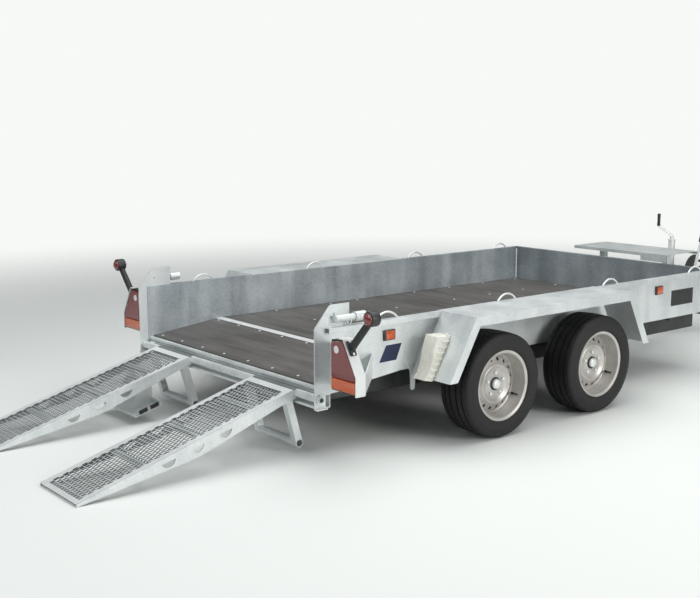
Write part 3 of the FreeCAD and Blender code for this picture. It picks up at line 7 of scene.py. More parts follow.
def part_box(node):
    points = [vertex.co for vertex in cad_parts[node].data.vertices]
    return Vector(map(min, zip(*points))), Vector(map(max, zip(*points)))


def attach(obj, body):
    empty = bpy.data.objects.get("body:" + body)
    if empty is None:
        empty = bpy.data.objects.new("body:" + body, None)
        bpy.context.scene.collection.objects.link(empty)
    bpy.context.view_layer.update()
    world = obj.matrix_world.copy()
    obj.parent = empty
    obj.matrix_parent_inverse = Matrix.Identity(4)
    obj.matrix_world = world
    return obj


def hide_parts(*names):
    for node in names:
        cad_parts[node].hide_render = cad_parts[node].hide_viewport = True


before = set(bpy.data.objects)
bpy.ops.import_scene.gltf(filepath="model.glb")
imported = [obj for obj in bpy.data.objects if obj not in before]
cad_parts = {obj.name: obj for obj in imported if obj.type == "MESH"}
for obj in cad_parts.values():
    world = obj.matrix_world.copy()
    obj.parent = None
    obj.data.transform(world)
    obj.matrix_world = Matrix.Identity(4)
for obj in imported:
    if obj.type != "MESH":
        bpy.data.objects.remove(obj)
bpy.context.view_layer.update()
scene = bpy.context.scene
REAR = -1.633
SIDES = (("left", -1), ("right", 1))


# Studio: a pale floor that fades out into a paler background, with three large soft
# lamps. The floor is a disc drawn from its middle outwards, ring by ring.
def clear_selection():
    if bpy.context.mode != "OBJECT":
        bpy.ops.object.mode_set(mode="OBJECT")
    bpy.ops.object.select_all(action="DESELECT")


def select_only(piece):
    clear_selection()
    piece.select_set(True)
    bpy.context.view_layer.objects.active = piece


def discard(*pieces):
    clear_selection()
    for piece in pieces:
        piece.select_set(True)
    bpy.ops.object.delete()


def new_material(name):
    """A material whose Principled shader is found under the name `finish`."""
    material = bpy.data.materials.new(name)
    material.use_nodes = True
    shader = material.node_tree.nodes["Principled BSDF"]
    shader.name = "finish"
    return material, material.node_tree, shader


def node(tree, kind, **settings):
    """Adds a node, with its sockets set by name and its properties by attribute."""
    made = tree.nodes.new(kind)
    for key, value in settings.items():
        if hasattr(made, key):
            setattr(made, key, value)
        else:
            made.inputs[key.replace("_", " ")].default_value = value
    return made


def laid_out(tree, kind, **settings):
    """A texture node laid out by the object's own coordinates."""
    made = node(tree, kind, **settings)
    place = node(tree, "ShaderNodeTexCoord")
    tree.links.new(place.outputs["Object"], made.inputs["Vector"])
    return made


def tinted(tree, shader, value, low, high, stops=(0.0, 1.0)):
    """Runs the base colour from low to high as the value passes the two stops."""
    tone = node(tree, "ShaderNodeValToRGB")
    for element, stop, colour in zip(tone.color_ramp.elements, stops, (low, high)):
        element.position = stop
        element.color = (*colour, 1)
    tree.links.new(value, tone.inputs["Fac"])
    tree.links.new(tone.outputs["Color"], shader.inputs["Base Color"])


def raised_by(tree, shader, value, strength, distance):
    """Bumps the surface by the value."""
    raised = node(tree, "ShaderNodeBump", Strength=strength, Distance=distance)
    tree.links.new(value, raised.inputs["Height"])
    tree.links.new(raised.outputs["Normal"], shader.inputs["Normal"])


def roughened(tree, shader, value, low, high):
    """Spreads the roughness from low to high by the value."""
    level = node(tree, "ShaderNodeMapRange", To_Min=low, To_Max=high)
    tree.links.new(value, level.inputs["Value"])
    tree.links.new(level.outputs["Result"], shader.inputs["Roughness"])


def chain(points, closed=True):
    """Draws a chain of edges from point to point in edit mode, and fills it if closed."""
    clear_selection()
    bpy.ops.mesh.primitive_plane_add(size=0.01, location=(0, 0, 0))
    bpy.ops.object.mode_set(mode="EDIT")
    bpy.ops.mesh.select_mode(type="VERT")
    bpy.ops.mesh.select_all(action="SELECT")
    bpy.ops.mesh.merge(type="CENTER")
    bpy.ops.transform.translate(value=points[0])
    for before, after in zip(points, points[1:]):
        step = Vector(after) - Vector(before)
        bpy.ops.mesh.extrude_region_move(TRANSFORM_OT_translate={"value": step})
    bpy.ops.mesh.select_all(action="SELECT")
    if closed:
        bpy.ops.mesh.edge_face_add()
    return bpy.context.object


FLOOR_RINGS = (5.0, 9.0, 14.0, 20.0)
clear_selection()
bpy.ops.mesh.primitive_circle_add(vertices=64, radius=2.0, fill_type="NGON")
floor = bpy.context.object
bpy.ops.object.mode_set(mode="EDIT")
bpy.ops.mesh.select_all(action="DESELECT")
bpy.ops.mesh.select_mode(type="EDGE")
bpy.ops.mesh.select_all(action="SELECT")
bpy.ops.mesh.region_to_loop()
radius = 2.0
for outer in FLOOR_RINGS:
    bpy.ops.mesh.extrude_edges_move(TRANSFORM_OT_translate={"value": (0, 0, 0)})
    bpy.ops.transform.resize(value=(outer / radius, outer / radius, 1))
    radius = outer
bpy.ops.object.mode_set(mode="OBJECT")
floor.name = "studio_floor"
floor_paint, tree, shader = new_material("studio_paint")
mottle = node(tree, "ShaderNodeTexNoise", Scale=0.35, Detail=2.0)
tinted(tree, shader, mottle.outputs["Fac"], (0.80, 0.83, 0.81), (0.85, 0.87, 0.85))
place = node(tree, "ShaderNodeTexCoord")
reach = node(tree, "ShaderNodeVectorMath", operation="LENGTH")
fade = node(tree, "ShaderNodeMapRange", From_Min=3.0, From_Max=8.5, To_Min=1.0,
            To_Max=0.0)
fade.interpolation_type = "SMOOTHSTEP"
tree.links.new(place.outputs["Object"], mottle.inputs["Vector"])
tree.links.new(place.outputs["Object"], reach.inputs[0])
tree.links.new(reach.outputs["Value"], fade.inputs["Value"])
tree.links.new(fade.outputs["Result"], shader.inputs["Alpha"])
shader.inputs["Roughness"].default_value = 0.5
floor.data.materials.append(floor_paint)

world = bpy.data.worlds.new("studio_air")
scene.world = world
world.use_nodes = True
air = world.node_tree
for old in list(air.nodes):
    air.nodes.remove(old)
glow = node(air, "ShaderNodeBackground", Color=(0.84, 0.88, 0.88, 1), Strength=0.28)
seen = node(air, "ShaderNodeBackground", Color=(0.93, 0.95, 0.93, 1), Strength=1.0)
path = node(air, "ShaderNodeLightPath")
pick = node(air, "ShaderNodeMixShader")
out = node(air, "ShaderNodeOutputWorld")
air.links.new(path.outputs["Is Camera Ray"], pick.inputs["Fac"])
air.links.new(glow.outputs[0], pick.inputs[1])
air.links.new(seen.outputs[0], pick.inputs[2])
air.links.new(pick.outputs[0], out.inputs["Surface"])

LAMPS = [
    ("overhead_lamp", (0.5, 0.2, 4.8), (0.3, 0.0, 0), 6.5, 240, (1, 1, 1)),
    ("side_lamp", (7.0, 0.8, 2.4), (0.5, 0.4, 0.45), 3.0, 200, (1.0, 0.99, 0.97)),
    ("rear_lamp", (0.0, -7.5, 3.8), (0, -1.8, 0.2), 4.0, 180, (0.97, 0.99, 1.0)),
]
for name, place, target, size, power, colour in LAMPS:
    bpy.ops.object.light_add(type="AREA", location=place)
    lamp = bpy.context.object
    lamp.name = name
    lamp.data.shape = "DISK"
    lamp.data.size = size
    lamp.data.energy = power
    lamp.data.color = colour
    aim = Vector(target) - Vector(place)
    lamp.rotation_euler = aim.to_track_quat("-Z", "Y").to_euler()

# Camera: the solved place of the photograph, with its lens on a sensor 36 mm wide.
bpy.ops.object.camera_add(location=(4.5852, -4.5846, 1.546))
camera = bpy.context.object
camera.name = "photo_camera"
camera.rotation_euler = (math.pi / 2 - 0.1633, 0, 0.8832)
camera.data.sensor_width = 36
camera.data.lens = 56.14
scene.camera = camera
scene.view_settings.view_transform = "Standard"


# Hot-dip zinc on the sheet steel: frost flowers of mixed grey, cloudy patches and dull
# upright streaks, with a fine grain over the whole surface.
def spangle_group():
    group = bpy.data.node_groups.new("zinc_spangle", "ShaderNodeTree")
    for label, kind in (("Scale", "NodeSocketFloat"), ("Light", "NodeSocketColor"),
                        ("Dark", "NodeSocketColor"), ("Cloud", "NodeSocketFloat")):
        group.interface.new_socket(label, in_out="INPUT", socket_type=kind)
    for label, kind in (("Colour", "NodeSocketColor"), ("Roughness", "NodeSocketFloat"),
                        ("Height", "NodeSocketFloat")):
        group.interface.new_socket(label, in_out="OUTPUT", socket_type=kind)
    given = node(group, "NodeGroupInput")
    result = node(group, "NodeGroupOutput")
    place = node(group, "ShaderNodeTexCoord")
    flowers = node(group, "ShaderNodeTexVoronoi", Randomness=1.0)
    clouds = node(group, "ShaderNodeTexNoise", Scale=2.6, Detail=6.0, Roughness=0.62)
    streaks = node(group, "ShaderNodeTexNoise", Scale=1.0, Detail=4.0)
    stretch = node(group, "ShaderNodeMapping", Scale=(9.0, 9.0, 0.9))
    grain = node(group, "ShaderNodeTexNoise", Scale=240.0, Detail=2.0)
    link = group.links.new
    link(place.outputs["Object"], flowers.inputs["Vector"])
    link(given.outputs["Scale"], flowers.inputs["Scale"])
    link(place.outputs["Object"], clouds.inputs["Vector"])
    link(place.outputs["Object"], stretch.inputs["Vector"])
    link(stretch.outputs["Vector"], streaks.inputs["Vector"])
    link(place.outputs["Object"], grain.inputs["Vector"])
    flower_tone = node(group, "ShaderNodeSeparateColor")
    link(flowers.outputs["Color"], flower_tone.inputs["Color"])
    patch = node(group, "ShaderNodeMapRange", From_Min=0.34, From_Max=0.68)
    link(clouds.outputs["Fac"], patch.inputs["Value"])
    run = node(group, "ShaderNodeMapRange", From_Min=0.36, From_Max=0.7)
    link(streaks.outputs["Fac"], run.inputs["Value"])
    weather = node(group, "ShaderNodeMath", operation="MULTIPLY_ADD")
    link(patch.outputs["Result"], weather.inputs[0])
    link(given.outputs["Cloud"], weather.inputs[1])
    link(run.outputs["Result"], weather.inputs[2])
    half = node(group, "ShaderNodeMath", operation="MULTIPLY")
    half.inputs[1].default_value = 0.5
    link(weather.outputs[0], half.inputs[0])
    both = node(group, "ShaderNodeMix", data_type="FLOAT")
    both.inputs["Factor"].default_value = 0.26
    link(half.outputs[0], both.inputs["A"])
    link(flower_tone.outputs["Red"], both.inputs["B"])
    colour = node(group, "ShaderNodeMix", data_type="RGBA")
    link(both.outputs["Result"], colour.inputs["Factor"])
    link(given.outputs["Dark"], colour.inputs["A"])
    link(given.outputs["Light"], colour.inputs["B"])
    link(colour.outputs["Result"], result.inputs["Colour"])
    rough = node(group, "ShaderNodeMapRange", To_Min=0.34, To_Max=0.58)
    link(both.outputs["Result"], rough.inputs["Value"])
    link(rough.outputs["Result"], result.inputs["Roughness"])
    link(grain.outputs["Fac"], result.inputs["Height"])
    return group


SPANGLE = spangle_group()


def zinc(name, light, dark, scale=60.0, cloud=1.0, metal=0.55, bump=0.06):
    material, tree, shader = new_material(name)
    spangle = node(tree, "ShaderNodeGroup", node_tree=SPANGLE, Scale=scale, Cloud=cloud,
                   Light=(*light, 1), Dark=(*dark, 1))
    tree.links.new(spangle.outputs["Colour"], shader.inputs["Base Color"])
    tree.links.new(spangle.outputs["Roughness"], shader.inputs["Roughness"])
    raised_by(tree, shader, spangle.outputs["Height"], bump, 0.002)
    shader.inputs["Metallic"].default_value = metal
    return material


ZINC_SHEET = zinc("zinc_sheet", (0.86, 0.89, 0.89), (0.55, 0.59, 0.60), 190.0, 1.0)
# Darker copy of the sheet zinc, painted shade for the inner face of the left side panel.
ZINC_SIDE_SHADED = zinc("zinc_side_painted_shade", (0.60, 0.65, 0.67), (0.24, 0.28, 0.31), 150.0, 1.4)
ZINC_BAR = zinc("zinc_bar", (0.82, 0.85, 0.84), (0.58, 0.62, 0.62), 260.0, 0.8)
# Near-black zinc, painted shade: it darkens the chassis under the bed and the walls of the
# ramp mesh openings.
ZINC_PAINTED_SHADE = zinc("zinc_painted_shade", (0.075, 0.08, 0.08), (0.022, 0.024, 0.024), 150.0, 1.0, 0.4)
ZINC_BRIGHT = zinc("zinc_bright", (0.90, 0.92, 0.91), (0.70, 0.73, 0.73), 300.0, 0.6, 0.4)


def dress(material, *names):
    """Gives carried-over CAD nodes their material."""
    for name in names:
        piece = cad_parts[name]
        piece.data.materials.clear()
        piece.data.materials.append(material)


def finish_piece(name, material, body, angle=35):
    """Leaves edit mode, settles the place in the mesh, and gives name, look and body."""
    if bpy.context.mode != "OBJECT":
        bpy.ops.object.mode_set(mode="OBJECT")
    piece = bpy.context.object
    bpy.ops.object.transform_apply(location=True, rotation=True, scale=True)
    bpy.ops.object.shade_smooth_by_angle(angle=math.radians(angle))
    piece.name = name
    piece.data.name = name
    piece.data.materials.clear()
    piece.data.materials.append(material)
    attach(piece, body)
    return piece


def deepen(vector):
    """Gives the filled outline a thickness along the vector, with faces outwards."""
    bpy.ops.mesh.select_all(action="SELECT")
    bpy.ops.mesh.extrude_region_move(TRANSFORM_OT_translate={"value": vector})
    bpy.ops.mesh.select_all(action="SELECT")
    bpy.ops.mesh.normals_make_consistent(inside=False)


def soften(width, segments=2):
    bpy.ops.mesh.select_all(action="SELECT")
    bpy.ops.mesh.bevel(offset=width, segments=segments, affect="EDGES", clamp_overlap=True)


def plate(points, vector, edge=0.0008):
    """A flat plate: an outline, filled, extruded by the vector and with eased edges."""
    chain(points)
    deepen(vector)
    soften(edge, 1)
    return bpy.context.object


def turned(points, centre, axis, steps=48, angle=2 * math.pi):
    """A turned form: the chain of points is spun about an axis through the centre."""
    chain(points, closed=False)
    bpy.ops.mesh.spin(steps=steps, angle=angle, center=centre, axis=axis)
    bpy.ops.mesh.select_all(action="SELECT")
    bpy.ops.mesh.remove_doubles(threshold=0.00002)
    bpy.ops.mesh.normals_make_consistent(inside=False)
    return bpy.context.object


def eased_box(centre, size, edge, turn=(0, 0, 0)):
    """A block with rounded edges."""
    clear_selection()
    bpy.ops.mesh.primitive_cube_add(size=1, location=centre, rotation=turn)
    block = bpy.context.object
    block.scale = size
    bpy.ops.object.transform_apply(location=False, rotation=False, scale=True)
    bpy.ops.object.mode_set(mode="EDIT")
    soften(edge)
    return block


def studs(spots, radius, height, normal, corners=6):
    """Bolt heads in one mesh: the first is shaped, and the rest are copies of it."""
    tilt = Vector(normal).to_track_quat("Z", "Y").to_euler()
    heads = []
    for spot in spots:
        if heads:
            select_only(heads[0])
            bpy.ops.object.duplicate(linked=False)
            head = bpy.context.object
            head.location = spot
        else:
            clear_selection()
            bpy.ops.mesh.primitive_cylinder_add(
                vertices=corners, radius=radius, depth=height, location=spot, rotation=tilt)
            head = bpy.context.object
            bpy.ops.object.mode_set(mode="EDIT")
            bpy.ops.mesh.select_all(action="SELECT")
            bpy.ops.mesh.bevel(offset=height * 0.3, segments=2, affect="EDGES")
            bpy.ops.object.mode_set(mode="OBJECT")
        heads.append(head)
    row = joined(heads)
    bpy.ops.object.transform_apply(location=True, rotation=True, scale=True)
    return row


def joined(pieces):
    clear_selection()
    for piece in pieces:
        piece.select_set(True)
    bpy.context.view_layer.objects.active = pieces[0]
    if len(pieces) > 1:
        bpy.ops.object.join()
    return bpy.context.object


def copied(piece, offset=(0, 0, 0), mirror=False):
    """A copy with its own mesh, moved, or mirrored to the other side of the trailer."""
    select_only(piece)
    bpy.ops.object.duplicate(linked=False)
    copy = bpy.context.object
    copy.parent = None
    copy.matrix_world = Matrix.Identity(4)
    if mirror:
        copy.scale = (-1, 1, 1)
    copy.location = offset
    bpy.ops.object.transform_apply(location=True, rotation=True, scale=True)
    if mirror:
        bpy.ops.object.mode_set(mode="EDIT")
        bpy.ops.mesh.select_all(action="SELECT")
        bpy.ops.mesh.normals_make_consistent(inside=False)
        bpy.ops.object.mode_set(mode="OBJECT")
    return copy


# Bed: zinc side panels and front board round a dark film-faced ply deck. Bright screws
# hold the deck to the crossmembers and along the kink.
# A darker copy again, painted shade for the front board; the right side panel keeps the plain
# sheet zinc.
ZINC_FRONT_SHADED = zinc("zinc_front_painted_shade", (0.42, 0.46, 0.48), (0.15, 0.18, 0.20), 150.0, 1.3)
dress(ZINC_SIDE_SHADED, "side_left")
dress(ZINC_FRONT_SHADED, "front_board")
dress(ZINC_SHEET, "fender_left", "fender_right", "side_right", "corner_post_left",
      "corner_post_right")
dress(ZINC_BRIGHT, "lamp_guard_left", "lamp_guard_right")


def ply():
    material, tree, shader = new_material("film_faced_ply")
    place = node(tree, "ShaderNodeTexCoord")
    stretch = node(tree, "ShaderNodeMapping", Scale=(1.0, 9.0, 9.0))
    wipes = node(tree, "ShaderNodeTexNoise", Scale=2.2, Detail=5.0, Roughness=0.6)
    dust = laid_out(tree, "ShaderNodeTexNoise", Scale=1.3, Detail=6.0, Roughness=0.7)
    mesh_print = laid_out(tree, "ShaderNodeTexVoronoi", Scale=420.0)
    tree.links.new(place.outputs["Object"], stretch.inputs["Vector"])
    tree.links.new(stretch.outputs["Vector"], wipes.inputs["Vector"])
    mix = node(tree, "ShaderNodeMath", operation="MULTIPLY")
    tree.links.new(wipes.outputs["Fac"], mix.inputs[0])
    tree.links.new(dust.outputs["Fac"], mix.inputs[1])
    tinted(tree, shader, mix.outputs[0], (0.052, 0.047, 0.043), (0.150, 0.142, 0.134),
           (0.14, 0.42))
    raised_by(tree, shader, mesh_print.outputs["Distance"], 0.25, 0.0006)
    roughened(tree, shader, dust.outputs["Fac"], 0.38, 0.62)
    return material


PLY = ply()
dress(PLY, "deck_main", "deck_tail")
dress(ZINC_BRIGHT, "deck_strip")

DECK_TOP, TAIL_FOOT, KINK_Y = 0.394, 0.339, 0.470
CROSS_Y = (0.860, 1.280, 1.500, 2.000, 2.330, 2.660, 3.000)
deck_spots = [
    (x, REAR + y, DECK_TOP + 0.0005) for y in CROSS_Y for x in (-0.76, -0.38, 0.0, 0.38, 0.76)
]
studs(deck_spots, 0.007, 0.003, (0, 0, 1), 12)
finish_piece("deck_screws", ZINC_BRIGHT, "trailer")
slope_fall = (DECK_TOP - TAIL_FOOT) / KINK_Y
tail_spots = [
    (x, REAR + y, TAIL_FOOT + slope_fall * y + 0.0005)
    for y in (0.060, 0.430) for x in (-0.74, -0.53, -0.32, -0.11, 0.11, 0.32, 0.53, 0.74)
]
studs(tail_spots, 0.007, 0.003, (0, -slope_fall, 1), 12)
finish_piece("tail_screws", ZINC_BRIGHT, "trailer")

# Corner seams: a round weld bead runs up the inside of each front corner, from the deck
# to the rail. Its section is spun about the corner's upright edge.
BED_HALF, BED_LENGTH, BEAD = 0.795, 3.050, 0.004
BEAD_LOOP = ((0, 0.395), (BEAD, 0.396), (BEAD, 0.610), (0, 0.611))
for name, side in SIDES:
    turned([(side * (BED_HALF - x), REAR + BED_LENGTH - BEAD, z) for x, z in BEAD_LOOP],
           (side * BED_HALF, REAR + BED_LENGTH, 0.5), (0, 0, 1), 10)
    finish_piece(f"corner_weld_{name}", ZINC_BRIGHT, "trailer")

# Lashing hoops: round zinc bar bent over the rails, four to a side, each spun from the
# bar's round section about the centre of its bend.
HOOPS = ((0.372, 0.623), (1.195, 0.626), (2.050, 0.623), (2.880, 0.623))
HOOP_LENGTH, HOOP_RISE, HOOP_BAR, HOOP_X = 0.134, 0.034, 0.005, 0.809
hoop_turn = (HOOP_LENGTH ** 2 / 4 + HOOP_RISE ** 2) / (2 * HOOP_RISE)
hoop_half = math.asin(HOOP_LENGTH / 2 / hoop_turn)
for name, side in SIDES:
    bars = []
    for y, foot in HOOPS:
        centre = Vector((side * HOOP_X, REAR + y, foot + HOOP_RISE - hoop_turn))
        clear_selection()
        bpy.ops.mesh.primitive_circle_add(
            vertices=12, radius=HOOP_BAR, location=centre + Vector((0, 0, hoop_turn)),
            rotation=(math.pi / 2, 0, 0))
        bpy.ops.object.transform_apply(location=True, rotation=True, scale=True)
        bpy.ops.object.mode_set(mode="EDIT")
        bpy.ops.mesh.select_all(action="SELECT")
        bpy.ops.transform.rotate(value=hoop_half, orient_axis="X", center_override=centre)
        here = bpy.context.object
        bpy.ops.object.mode_set(mode="OBJECT")
        low_y = sum(v.co.y for v in here.data.vertices) / len(here.data.vertices)
        spin_sign = -1 if low_y > centre.y else 1
        bpy.ops.object.mode_set(mode="EDIT")
        bpy.ops.mesh.spin(steps=18, angle=2 * hoop_half * spin_sign, center=centre,
                          axis=(1, 0, 0))
        bpy.ops.mesh.select_all(action="SELECT")
        bpy.ops.mesh.normals_make_consistent(inside=False)
        bpy.ops.object.mode_set(mode="OBJECT")
        bars.append(here)
    joined(bars)
    hoops = finish_piece(f"lashing_hoops_{name}", ZINC_BRIGHT, "trailer")
    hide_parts(f"hoops_{name}")

# Rear edge and chassis: the hinge tube, the edge bar, the open channel, the beams and
# crossmembers of zinc-dipped steel, the V drawbar and the sprung axles.
dress(ZINC_BAR, "rear_edge_bar", "rear_channel", "hinge_tube", "drawbar_left",
      "drawbar_right", "bucket_rest")
# The beams, crossmembers and axles take the near-black zinc, painted shade under the bed.
dress(ZINC_PAINTED_SHADE, "chassis_beam_left", "chassis_beam_right", "crossmembers",
      "axle_front", "axle_rear")

BLACK_GAP, tree, shader = new_material("dark_joint")
soot = node(tree, "ShaderNodeTexNoise", Scale=90.0)
tinted(tree, shader, soot.outputs["Fac"], (0.010, 0.010, 0.011), (0.030, 0.030, 0.031))
shader.inputs["Roughness"].default_value = 0.7


# Ramps: each has two bent side plates, cross ties and a punched mesh deck. The mesh is
# one cell with a rounded opening, arrayed in staggered rows inside a plain border.
dress(ZINC_SHEET, "ramp_leg_left", "ramp_leg_right")
RAMP_X, TIE_REACH = 0.459, 0.1725


def ramp_zinc_painted_shade():
    """Ramp frame zinc with painted shade: darker on the ties and inner walls, within reach of
    its middle, where the mesh deck shades them.
    """
    material = ZINC_SHEET.copy()
    material.name = "ramp_zinc_painted_shade"
    tree = material.node_tree
    shader = tree.nodes["finish"]
    base = shader.inputs["Base Color"].links[0].from_socket
    place = node(tree, "ShaderNodeTexCoord")
    split = node(tree, "ShaderNodeSeparateXYZ")
    away = node(tree, "ShaderNodeMath", operation="ABSOLUTE")
    shift = node(tree, "ShaderNodeMath", operation="SUBTRACT")
    shift.inputs[1].default_value = RAMP_X
    apart = node(tree, "ShaderNodeMath", operation="ABSOLUTE")
    inside = node(tree, "ShaderNodeMath", operation="LESS_THAN")
    inside.inputs[1].default_value = TIE_REACH
    shade = node(tree, "ShaderNodeMix", data_type="RGBA", blend_type="MULTIPLY")
    shade.inputs["B"].default_value = (0.32, 0.34, 0.34, 1)
    tree.links.new(place.outputs["Object"], split.inputs["Vector"])
    tree.links.new(split.outputs["X"], away.inputs[0])
    tree.links.new(away.outputs[0], shift.inputs[0])
    tree.links.new(shift.outputs[0], apart.inputs[0])
    tree.links.new(apart.outputs[0], inside.inputs[0])
    tree.links.new(inside.outputs[0], shade.inputs["Factor"])
    tree.links.new(base, shade.inputs["A"])
    tree.links.new(shade.outputs["Result"], shader.inputs["Base Color"])
    return material


dress(ramp_zinc_painted_shade(), "ramp_frame_left", "ramp_frame_right")
HINGE = Vector((0, REAR - 0.020, 0.296))
RAMP_TILT = math.radians(15.51)
RAMP_HALF, WEB = 0.177, 0.005
RAMP_START, RAMP_END, TREAD_TOP, TREAD_WALL = 0.020, 1.150, 0.024, 0.004
BORDER, ROWS, COLUMNS = 0.026, 46, 12
inner_half = RAMP_HALF - WEB
mesh_half = inner_half - BORDER
mesh_start = -RAMP_START - BORDER - 0.012
mesh_end = -RAMP_END + BORDER
pitch_y = (mesh_start - mesh_end) / ROWS
pitch_x = 2 * mesh_half / (COLUMNS + 0.5)
clear_selection()
bpy.ops.mesh.primitive_plane_add(size=1, location=(0, 0, TREAD_TOP))
cell = bpy.context.object
cell.scale = (pitch_x, pitch_y, 1)
bpy.ops.object.transform_apply(location=True, rotation=True, scale=True)
bpy.ops.object.mode_set(mode="EDIT")
bpy.ops.mesh.select_all(action="SELECT")
bpy.ops.mesh.inset(thickness=0.0030)
bpy.ops.mesh.bevel(offset=0.0055, segments=2, affect="VERTICES")
bpy.ops.mesh.delete(type="FACE")
bpy.ops.object.mode_set(mode="OBJECT")
cell.location = (pitch_x / 2 - mesh_half, mesh_start - pitch_y / 2, 0)
bpy.ops.object.transform_apply(location=True, rotation=False, scale=False)


def arrayed(piece, count, offset):
    select_only(piece)
    bpy.ops.object.modifier_add(type="ARRAY")
    repeat = piece.modifiers[-1]
    repeat.count = count
    repeat.use_relative_offset = False
    repeat.use_constant_offset = True
    repeat.constant_offset_displace = offset
    repeat.use_merge_vertices = True
    repeat.merge_threshold = 0.0001
    bpy.ops.object.modifier_apply(modifier=repeat.name)


arrayed(cell, COLUMNS, (pitch_x, 0, 0))
odd = copied(cell, (pitch_x / 2, -pitch_y, 0))
joined([cell, odd])
arrayed(cell, ROWS // 2, (0, -2 * pitch_y, 0))
border_strips = []
STRIPS = (
    (-inner_half, -mesh_half, -RAMP_END, -RAMP_START),
    (mesh_half, inner_half, -RAMP_END, -RAMP_START),
    (-mesh_half, mesh_half, mesh_start, -RAMP_START),
    (-mesh_half, mesh_half, -RAMP_END, mesh_end),
)
for x0, x1, y0, y1 in STRIPS:
    border_strips.append(chain([(x0, y0, TREAD_TOP), (x1, y0, TREAD_TOP),
                                (x1, y1, TREAD_TOP), (x0, y1, TREAD_TOP)]))
    bpy.ops.object.mode_set(mode="OBJECT")
edge_fill = []
for k in range(ROWS):
    y1 = mesh_start - k * pitch_y
    low = -mesh_half if k % 2 else mesh_half - pitch_x / 2
    y0, high = y1 - pitch_y, low + pitch_x / 2
    edge_fill.append(chain([(low, y0, TREAD_TOP), (high, y0, TREAD_TOP),
                            (high, y1, TREAD_TOP), (low, y1, TREAD_TOP)]))
    bpy.ops.object.mode_set(mode="OBJECT")
mesh_deck = joined([cell] + border_strips + edge_fill)
bpy.ops.object.mode_set(mode="EDIT")
bpy.ops.mesh.select_all(action="SELECT")
bpy.ops.mesh.normals_make_consistent(inside=False)
bpy.ops.object.mode_set(mode="OBJECT")
bpy.ops.object.modifier_add(type="SOLIDIFY")
mesh_deck.modifiers[-1].thickness = TREAD_WALL
mesh_deck.modifiers[-1].offset = -1
bpy.ops.object.modifier_apply(modifier=mesh_deck.modifiers[-1].name)
top = max(v.co.z for v in mesh_deck.data.vertices)
mesh_deck.location = (0, 0, TREAD_TOP - top)
mesh_deck.rotation_euler = (0, 0, 0)
bpy.ops.object.transform_apply(location=True, rotation=True, scale=True)
BORDER_AREA = 0.002  # faces above this are the plain border, which is brighter
for name, side in SIDES:
    tread = copied(mesh_deck)
    tread.matrix_world = (Matrix.Translation(HINGE + Vector((side * RAMP_X, 0, 0)))
                          @ Matrix.Rotation(RAMP_TILT, 4, "X"))
    tread = finish_piece(f"ramp_mesh_{name}", ZINC_SHEET, f"ramp_{name}")
    tread.data.materials.append(ZINC_PAINTED_SHADE)
    tread.data.materials.append(ZINC_BRIGHT)
    # Painted light on the tread: the walls of the openings take the near-black zinc as
    # painted shade, and the broad border faces take the brighter zinc as a painted highlight.
    for face in tread.data.polygons:
        if abs(face.normal.z) < 0.7:
            face.material_index = 1
        elif face.area > BORDER_AREA:
            face.material_index = 2
    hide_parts(f"ramp_tread_{name}")
discard(mesh_deck)


def on_ramp(side, along, out, up):
    """A point of a ramp: along it from the hinge, out from its middle and up from it."""
    local = Vector((out, -along, up))
    return (Matrix.Translation(HINGE + Vector((side * RAMP_X, 0, 0)))
            @ Matrix.Rotation(RAMP_TILT, 4, "X")) @ local


# Plate carrier under the left ramp: a bare zinc tray, with two short black rubber straps
# along its right edge.
dress(ZINC_BAR, "plate_carrier")
STRAP_LENGTH, STRAP_OUT, STRAP_TOP, STRAP_FOOT = 0.05, 0.176, -0.125, -0.146
for number, start in enumerate((0.262, 0.330)):
    end = start + STRAP_LENGTH
    corners = ((start, STRAP_TOP), (end, STRAP_TOP), (end, STRAP_FOOT), (start, STRAP_FOOT))
    plate([on_ramp(-1, along, STRAP_OUT, up) for along, up in corners], (0.006, 0, 0), 0.001)
    finish_piece(f"carrier_strap_{number + 1}", BLACK_GAP, "ramp_left")


# Tyres: black rubber with four grooves round the tread, fine cross cuts, and two thin
# raised lines on each side wall. One section is spun about the axle and then copied.
def rubber(name, base, rough):
    material, tree, shader = new_material(name)
    dust = laid_out(tree, "ShaderNodeTexNoise", Scale=14.0, Detail=6.0, Roughness=0.7)
    fine = laid_out(tree, "ShaderNodeTexNoise", Scale=320.0, Detail=2.0)
    tinted(tree, shader, dust.outputs["Fac"], [c * 0.7 for c in base],
           [c * 1.5 for c in base], (0.35, 0.75))
    raised_by(tree, shader, fine.outputs["Fac"], 0.12, 0.001)
    roughened(tree, shader, dust.outputs["Fac"], rough - 0.08, rough + 0.12)
    return material


TYRE_RUBBER = rubber("tyre_rubber", (0.008, 0.008, 0.008), 0.66)
FACE_X = 1.053
TYRE_X = FACE_X - 0.088
AXLE_Z = 0.2625
WHEELS = (("rear", REAR + 0.919), ("front", REAR + 1.667))


def tyre_section():
    """Half sections of the tyre as (across from its middle, radius)."""
    wall = [(0.0795, 0.170), (0.088, 0.1765), (0.0905, 0.184), (0.0925, 0.186),
            (0.0935, 0.190), (0.0955, 0.200), (0.0970, 0.212), (0.0975, 0.2215),
            (0.0972, 0.2225), (0.0975, 0.2235), (0.0968, 0.2245), (0.0955, 0.234),
            (0.0930, 0.243), (0.0895, 0.2505), (0.0845, 0.2560), (0.0800, 0.2585)]
    grooves = [(0.0590, 0.2603), (0.0590, 0.2530), (0.0520, 0.2530), (0.0520, 0.2608),
               (0.0260, 0.2620), (0.0250, 0.2540), (0.0165, 0.2540), (0.0155, 0.2622)]
    half = wall + grooves
    return half + [(-x, r) for x, r in reversed(half)]


